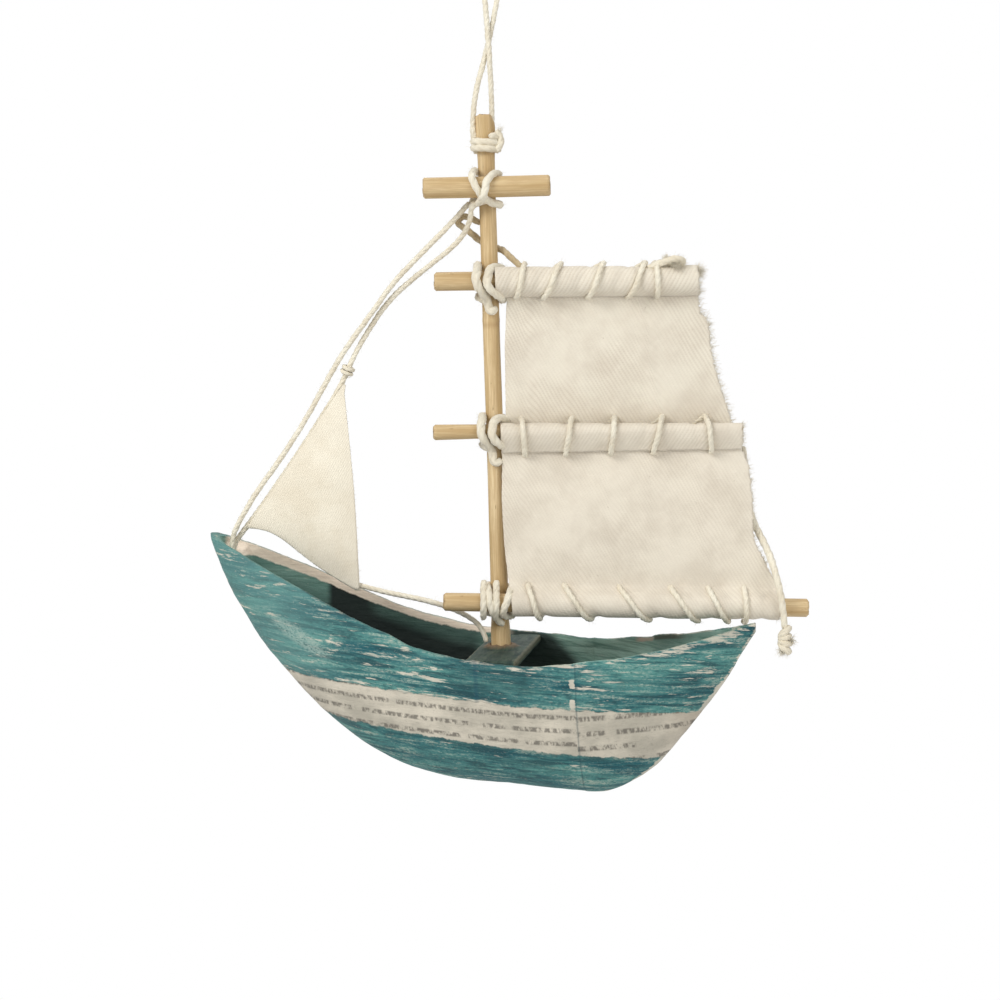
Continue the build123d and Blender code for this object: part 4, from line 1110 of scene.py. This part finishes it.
# Bamboo
def bamboo(name, start, end, dias, seed, bevel=0.35, node=-9.0):
    """A split bamboo stick with ridges and rough cut ends. dias are pairs of share and diameter, and node is
    how far along it the ridge of a joint lies, off its end where it has none."""
    run = end - start
    length = run.length / MM
    way = run.normalized()
    side = way.orthogonal().normalized()
    up = way.cross(side)
    count = 30
    inner = np.linspace(0.7, length - 0.7, max(int(length / 0.9), 8))
    stations = [0, 0, 0.12, 0.3, *inner, length - 0.3, length - 0.12, length, length]
    points, uvs, ends = [], [], []
    for i, dist in enumerate(stations):
        share = dist / length
        dia = knots_between(dias, share)
        bend = side * 0.1 * bumps(dist * 0.04, seed) + up * 0.1 * bumps(dist * 0.04, seed + 7)
        near = min(dist, length - dist)
        for k in range(count):
            angle = 2 * pi * k / count
            radius = dia / 2 * (1 + 0.05 * bumps(cos(angle) * 1.5 + seed, sin(angle) * 1.5, dist * 0.05))
            radius *= 1 + 0.012 * bumps(cos(angle) * 7, sin(angle) * 7 + seed, dist * 0.05)
            radius += 0.14 * exp(-((dist - node) / 0.35) ** 2)
            if near < 0.3:
                radius *= 1 - bevel * (1 - near / 0.3) * 0.5
            if i == 0 or i == len(stations) - 1:
                radius *= 0.02
            rough = 0.3 * bumps(cos(angle) * 2, sin(angle) * 2, seed + share) if near < 0.5 else 0
            out = (side * cos(angle) + up * sin(angle)) * radius
            points.append(start + (way * (dist + rough) + bend + out) * MM)
            uvs.append((angle * dia / 2, dist))
            ends.append(1.0 if near < 0.1 else exp(-((dist - node + 0.5) / 0.4) ** 2))
    faces = ring_faces(len(stations), count)
    faces += [tuple(reversed(range(count))), tuple(range(len(points) - count, len(points)))]
    return piece(name + "_stick", points, faces, BAMBOO, (name,), uvs, {"end": ends})


def spar_stick(name, spar, seed, end_dia=None):
    height, tilt, dia, fore, aft = spar
    rise = radians(tilt)
    ends = [rig(reach * cos(rise), spar_y(dia), height + reach * sin(rise)) for reach in (-fore, aft)]
    bamboo(name, *ends, [(0, dia), (1, end_dia or dia)], seed)


spar_stick("top_yard", TOP_YARD, 61)
spar_stick("upper_yard", UPPER_YARD, 62)
spar_stick("middle_yard", MIDDLE_YARD, 63, MIDDLE_TIP)
spar_stick("boom", BOOM, 64)


def mast():
    """The mast, whittled to six flats at the head, one of them deep, and flared at the foot."""
    low, high = -2.45, MAST_HEIGHT
    span = high - low
    dias = [(0, 3.9), ((2.6 - low) / span, 3.9), ((5.2 - low) / span, 3.5), (0.92, 3.3), (0.975, 3.75), (1, 3.8)]
    made = bamboo("mast", at(0, 0, low), at(0, 0, high), dias, 65, 0.12, 64.5 - low)
    wedge = 2 * pi / 6
    for v in made.data.vertices:
        x, y, z = placed(v.co)
        if z > 92:
            flat = cos(wedge / 2) / cos((atan2(y, x) + 0.9) % wedge - wedge / 2)
            scale = 1 + (flat * 1.04 - 1) * smooth(92, 99, z)
            v.co = at(min(x * scale, 1.0 + (high - z) * 0.5), y * scale, z)


mast()


# Hull and thwart
def ramp_through(x, knots):
    """A smooth curve through (x, value) knots, as the hull's solid has it."""
    slopes = []
    for i in range(len(knots)):
        a, b = knots[max(i - 1, 0)], knots[min(i + 1, len(knots) - 1)]
        slopes.append((b[1] - a[1]) / (b[0] - a[0]))
    i = 0
    while i < len(knots) - 2 and x > knots[i + 1][0]:
        i += 1
    (x0, v0), (x1, v1) = knots[i], knots[i + 1]
    span = x1 - x0
    t = (x - x0) / span
    start = (1 + 2 * t) * (1 - t) ** 2 * v0 + t * (1 - t) ** 2 * span * slopes[i]
    return start + t * t * (3 - 2 * t) * v1 + t * t * (t - 1) * span * slopes[i + 1]


SHEER_KNOTS = [(-59.3, 23.1), (-40.92, 14.23), (-27.87, 7.65), (-13.64, 2.01), (0, -0.594), (16.8, -1.65),
               (30.54, -0.594), (40.21, 1.044), (50.9, 3.6)]
KEEL_KNOTS = [(-59.3, 21.6), (-55.15, 11.3), (-46.25, -3.0), (-30.84, -18.6), (-14.83, -26.4), (5.09, -28.8),
              (19.85, -30.0), (26.47, -27.69), (32.07, -23.4), (43.77, -9.09), (50.9, 2.1)]
HALF_BEAM = 18.4
WIDEST_AFT = 6.0
TIP_HALF_BREADTH = 0.7
WALL = 1.2
MOUTH_FORE = -57.6
DEEP_FORE = -53.0
MOUTH_AFT = 46.4


def keel_slope(x):
    ahead, back = min(x + 0.5, STERN_REACH), max(x - 0.5, -BOW_REACH)
    return ramp_through(ahead, KEEL_KNOTS) - ramp_through(back, KEEL_KNOTS)


def half_breadth(x):
    if x < WIDEST_AFT:
        share = max(1 - ((WIDEST_AFT - x) / (WIDEST_AFT + BOW_REACH)) ** 1.6, 0) ** 0.566
    else:
        share = max(1 - ((x - WIDEST_AFT) / (STERN_REACH - WIDEST_AFT)) ** 1.45, 0)
    return TIP_HALF_BREADTH + (HALF_BEAM - TIP_HALF_BREADTH) * share


def mouth(x):
    """How open the hull is at x: 0 in its solid ends and 1 in between, round where it starts."""
    ease = 3.5
    near = min(x - MOUTH_FORE, MOUTH_AFT - x) / ease
    return sqrt(1 - (1 - min(max(near, 0), 1)) ** 2)


def side_point(x, t, inset=0.0, share=1.0):
    """A point of half a cross-section, (breadth, height): t is 0 at the keel and 1 at the rim.
    Inside the bow's tip the floor is shallow, filled with paper."""
    breadth = (half_breadth(x) - inset) * share
    top = ramp_through(x, SHEER_KNOTS)
    bottom = ramp_through(x, KEEL_KNOTS) + inset * hypot(1, keel_slope(x))
    depth = (top - bottom) * share
    if inset and x < DEEP_FORE + 2:
        depth = min(depth, 1.6 + (depth - 1.6) * smooth(DEEP_FORE - 0.6, DEEP_FORE + 1.6, x))
    bottom = top - depth
    weights = ((1 - t) ** 3, 3 * t * (1 - t) ** 2, 3 * t * t * (1 - t), t ** 3)
    breadths = (0, 0.6 * breadth, 0.97 * breadth, breadth)
    heights = (bottom, bottom + 0.02 * depth, bottom + 0.4 * depth, top)
    return sum(w * b for w, b in zip(weights, breadths)), sum(w * h for w, h in zip(weights, heights))


def hull_surface():
    """The hull's paper as one closed skin, as points, faces, normals and flags: 0 outside to 1 inside."""
    half, band, count = 44, 5, 230
    middle, reach = (STERN_REACH - BOW_REACH) / 2, (STERN_REACH + BOW_REACH) / 2
    stations = [middle - reach * cos(pi * i / count) for i in range(count + 1)]
    points, flags = [], []
    for x in stations:
        share = mouth(x)
        outer = [side_point(x, k / half) for k in range(half + 1)]
        inner = [side_point(x, k / half, WALL, share) for k in range(half + 1)]
        rim, lip = outer[-1], inner[-1]
        crown = 0.16 if share > 0.9 else 0.05
        steps = [k / band for k in range(1, band)]
        top = [(rim[0] + (lip[0] - rim[0]) * t, rim[1] + crown * sin(pi * t)) for t in steps]
        loop = [(-b, h, 0.0) for b, h in reversed(outer)] + [(b, h, 0.0) for b, h in outer[1:]]
        loop += [(b, h, 0.5) for b, h in top]
        loop += [(b, h, 1.0) for b, h in reversed(inner)] + [(-b, h, 1.0) for b, h in inner[1:]]
        loop += [(-b, h, 0.5) for b, h in reversed(top)]
        points += [at(x, y, z) for y, z, flag in loop]
        flags += [flag for y, z, flag in loop]
    count = len(loop)
    bm = bmesh.new()
    layer = bm.verts.layers.float.new("flag")
    made = [bm.verts.new(p) for p in points]
    for v, flag in zip(made, flags):
        v[layer] = flag
    for f in ring_faces(len(stations), count):
        bm.faces.new([made[i] for i in f])
    for end in (0, len(stations) - 1):
        ring = made[end * count:end * count + 2 * half + 1]
        bm.faces.new(ring if end else list(reversed(ring)))
    bmesh.ops.remove_doubles(bm, verts=bm.verts, dist=0.00001)
    bmesh.ops.recalc_face_normals(bm, faces=bm.faces)
    bm.normal_update()
    bm.verts.index_update()
    points = [v.co.copy() for v in bm.verts]
    normals = [v.normal.copy() for v in bm.verts]
    flags = [v[layer] for v in bm.verts]
    faces = [tuple(v.index for v in f.verts) for f in bm.faces]
    bm.free()
    return points, faces, normals, flags


def remeshed(node, voxel):
    """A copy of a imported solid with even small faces, smoothed, as points, faces and normals."""
    copy = bpy.data.objects.new("remesh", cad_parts[node].data.copy())
    bpy.context.scene.collection.objects.link(copy)
    weld = copy.modifiers.new("weld", "WELD")
    weld.merge_threshold = 0.00002
    fine = copy.modifiers.new("fine", "REMESH")
    fine.mode = "VOXEL"
    fine.voxel_size = voxel * MM
    calm = copy.modifiers.new("calm", "SMOOTH")
    calm.iterations = 3
    calm.factor = 0.5
    done = copy.evaluated_get(bpy.context.evaluated_depsgraph_get()).to_mesh()
    points = [v.co.copy() for v in done.vertices]
    faces = [tuple(p.vertices) for p in done.polygons]
    normals = [v.normal.copy() for v in done.vertices]
    bpy.data.objects.remove(copy)
    return points, faces, normals


def hull():
    points, faces, normals, flags = hull_surface()
    below, keel_near, inside, moved = [], [], [], []
    for p, n, flag in zip(points, normals, flags):
        x, y, z = placed(p)
        under = ramp_through(x, SHEER_KNOTS) - z
        wave = 0.16 * bumps(x * 0.13, z * 0.2, y * 0.1) + 0.07 * bumps(x * 0.5, z * 0.6, y * 0.4)
        far = y > 0
        rim = 0.2 * bumps(x * 0.22, 4.0 if far else 8.0) + 0.1 * bumps(x * 1.1, 5.0 if far else 9.0)
        rim += (0.4 if far else -0.55) * smooth(-20, -13, x) * smooth(16, 9, x)
        if far:
            rim += 0.35 * smooth(29.4, 30.2, x) * smooth(37, 32, x)
        if flag > 0.7:
            out, near = wave * 0.6, 20.0
        else:
            lap = 0.08 if x > SEAM_AFT + 0.25 else 0.0
            strip = 0.096 * smooth(-0.3, 0.3, z - (BAND_TOP[0] + BAND_TOP[1] * x))
            out = wave - 0.1 + lap + strip
            near = (z - ramp_through(x, KEEL_KNOTS)) / hypot(1, keel_slope(x))
        moved.append(p + (n * out + Vector((0, 0, rim * smooth(3.0, 0.2, under)))) * MM)
        below.append(under)
        keel_near.append(near)
        inside.append(min(max(flag * 2 - 0.6, 0), 1))
    piece("hull_paper", moved, faces, HULL_PAINT, ("hull",), None,
          {"below": below, "keel_near": keel_near, "inside": inside})


THWART_AFT = 0.4
THWART_HALF = 5.2


def thwart():
    points, faces, normals = remeshed("thwart", 0.3)
    edge, moved = [], []
    for p, n in zip(points, normals):
        x, y, z = placed(p)
        side = abs(abs(x - THWART_AFT) - THWART_HALF)
        edge.append(smooth(1.1, 0.1, side) if z > -1.9 else 0.0)
        mound = smooth(4.6, 2.1, hypot(x, y)) * (0.85 + 0.3 * bumps(x * 0.9, y * 0.9)) if z > -1.6 else 0
        moved.append(p + (n * 0.1 * bumps(x * 0.5, y * 0.35, z) + Vector((0, 0, mound))) * MM)
    piece("thwart_plank", moved, faces, THWART_PAINT, ("thwart",), None, {"edge": edge})


hull()
thwart()


# Floor, backdrop and light
def seen_directly(tree):
    """1 for rays from the camera and in reflections, and 0 for all other light."""
    path = tree.nodes.new("ShaderNodeLightPath")
    either = tree.nodes.new("ShaderNodeMath")
    either.operation = "MAXIMUM"
    tree.links.new(path.outputs["Is Camera Ray"], either.inputs[0])
    tree.links.new(path.outputs["Is Glossy Ray"], either.inputs[1])
    return either.outputs[0]


def floor_material():
    """White to the camera and in reflections, and a plain matt surface to the light."""
    material = bpy.data.materials.new("floor_white")
    material.use_nodes = True
    tree = material.node_tree
    tree.nodes.clear()
    output = tree.nodes.new("ShaderNodeOutputMaterial")
    matt = tree.nodes.new("ShaderNodeBsdfDiffuse")
    matt.inputs[0].default_value = (0.8, 0.8, 0.8, 1)
    white = tree.nodes.new("ShaderNodeEmission")
    mix = tree.nodes.new("ShaderNodeMixShader")
    tree.links.new(seen_directly(tree), mix.inputs[0])
    tree.links.new(matt.outputs[0], mix.inputs[1])
    tree.links.new(white.outputs[0], mix.inputs[2])
    tree.links.new(mix.outputs[0], output.inputs[0])
    return material


def make_floor():
    size, level = 3.0, -0.26
    mesh = bpy.data.meshes.new("floor")
    corners = [(x * size, y * size, level) for x, y in ((-1, -1), (1, -1), (1, 1), (-1, 1))]
    mesh.from_pydata(corners, [], [(0, 1, 2, 3)])
    mesh.materials.append(floor_material())
    floor_object = bpy.data.objects.new("floor", mesh)
    bpy.context.scene.collection.objects.link(floor_object)


def area_light(name, place, target, size, power):
    data = bpy.data.lights.new(name, "AREA")
    data.size = size
    data.energy = power
    lamp = bpy.data.objects.new(name, data)
    bpy.context.scene.collection.objects.link(lamp)
    way = Vector(target) - Vector(place)
    lamp.matrix_world = Matrix.Translation(Vector(place)) @ way.to_track_quat("-Z", "Y").to_matrix().to_4x4()


AMBIENT = 0.36


def make_world():
    world = bpy.data.worlds.new("world")
    bpy.context.scene.world = world
    world.use_nodes = True
    tree = world.node_tree
    tree.nodes.clear()
    output = tree.nodes.new("ShaderNodeOutputWorld")
    back = tree.nodes.new("ShaderNodeBackground")
    back.inputs[0].default_value = (1, 1, 1, 1)
    tree.links.new(back.outputs[0], output.inputs[0])
    level = tree.nodes.new("ShaderNodeMapRange")
    level.inputs[3].default_value = AMBIENT
    level.inputs[4].default_value = 1.0
    tree.links.new(seen_directly(tree), level.inputs[0])
    tree.links.new(level.outputs[0], back.inputs[1])


make_floor()
make_world()
area_light("key", (-0.55, -0.75, 0.55), (0, 0, -0.1), 0.55, 8.4)
area_light("fill", (0.75, -0.7, 0.1), (0, 0, -0.1), 0.8, 3.7)
area_light("top", (0.1, 0.3, 0.8), (0, 0, -0.1), 0.7, 2.6)
bpy.context.scene.view_settings.view_transform = "Standard"
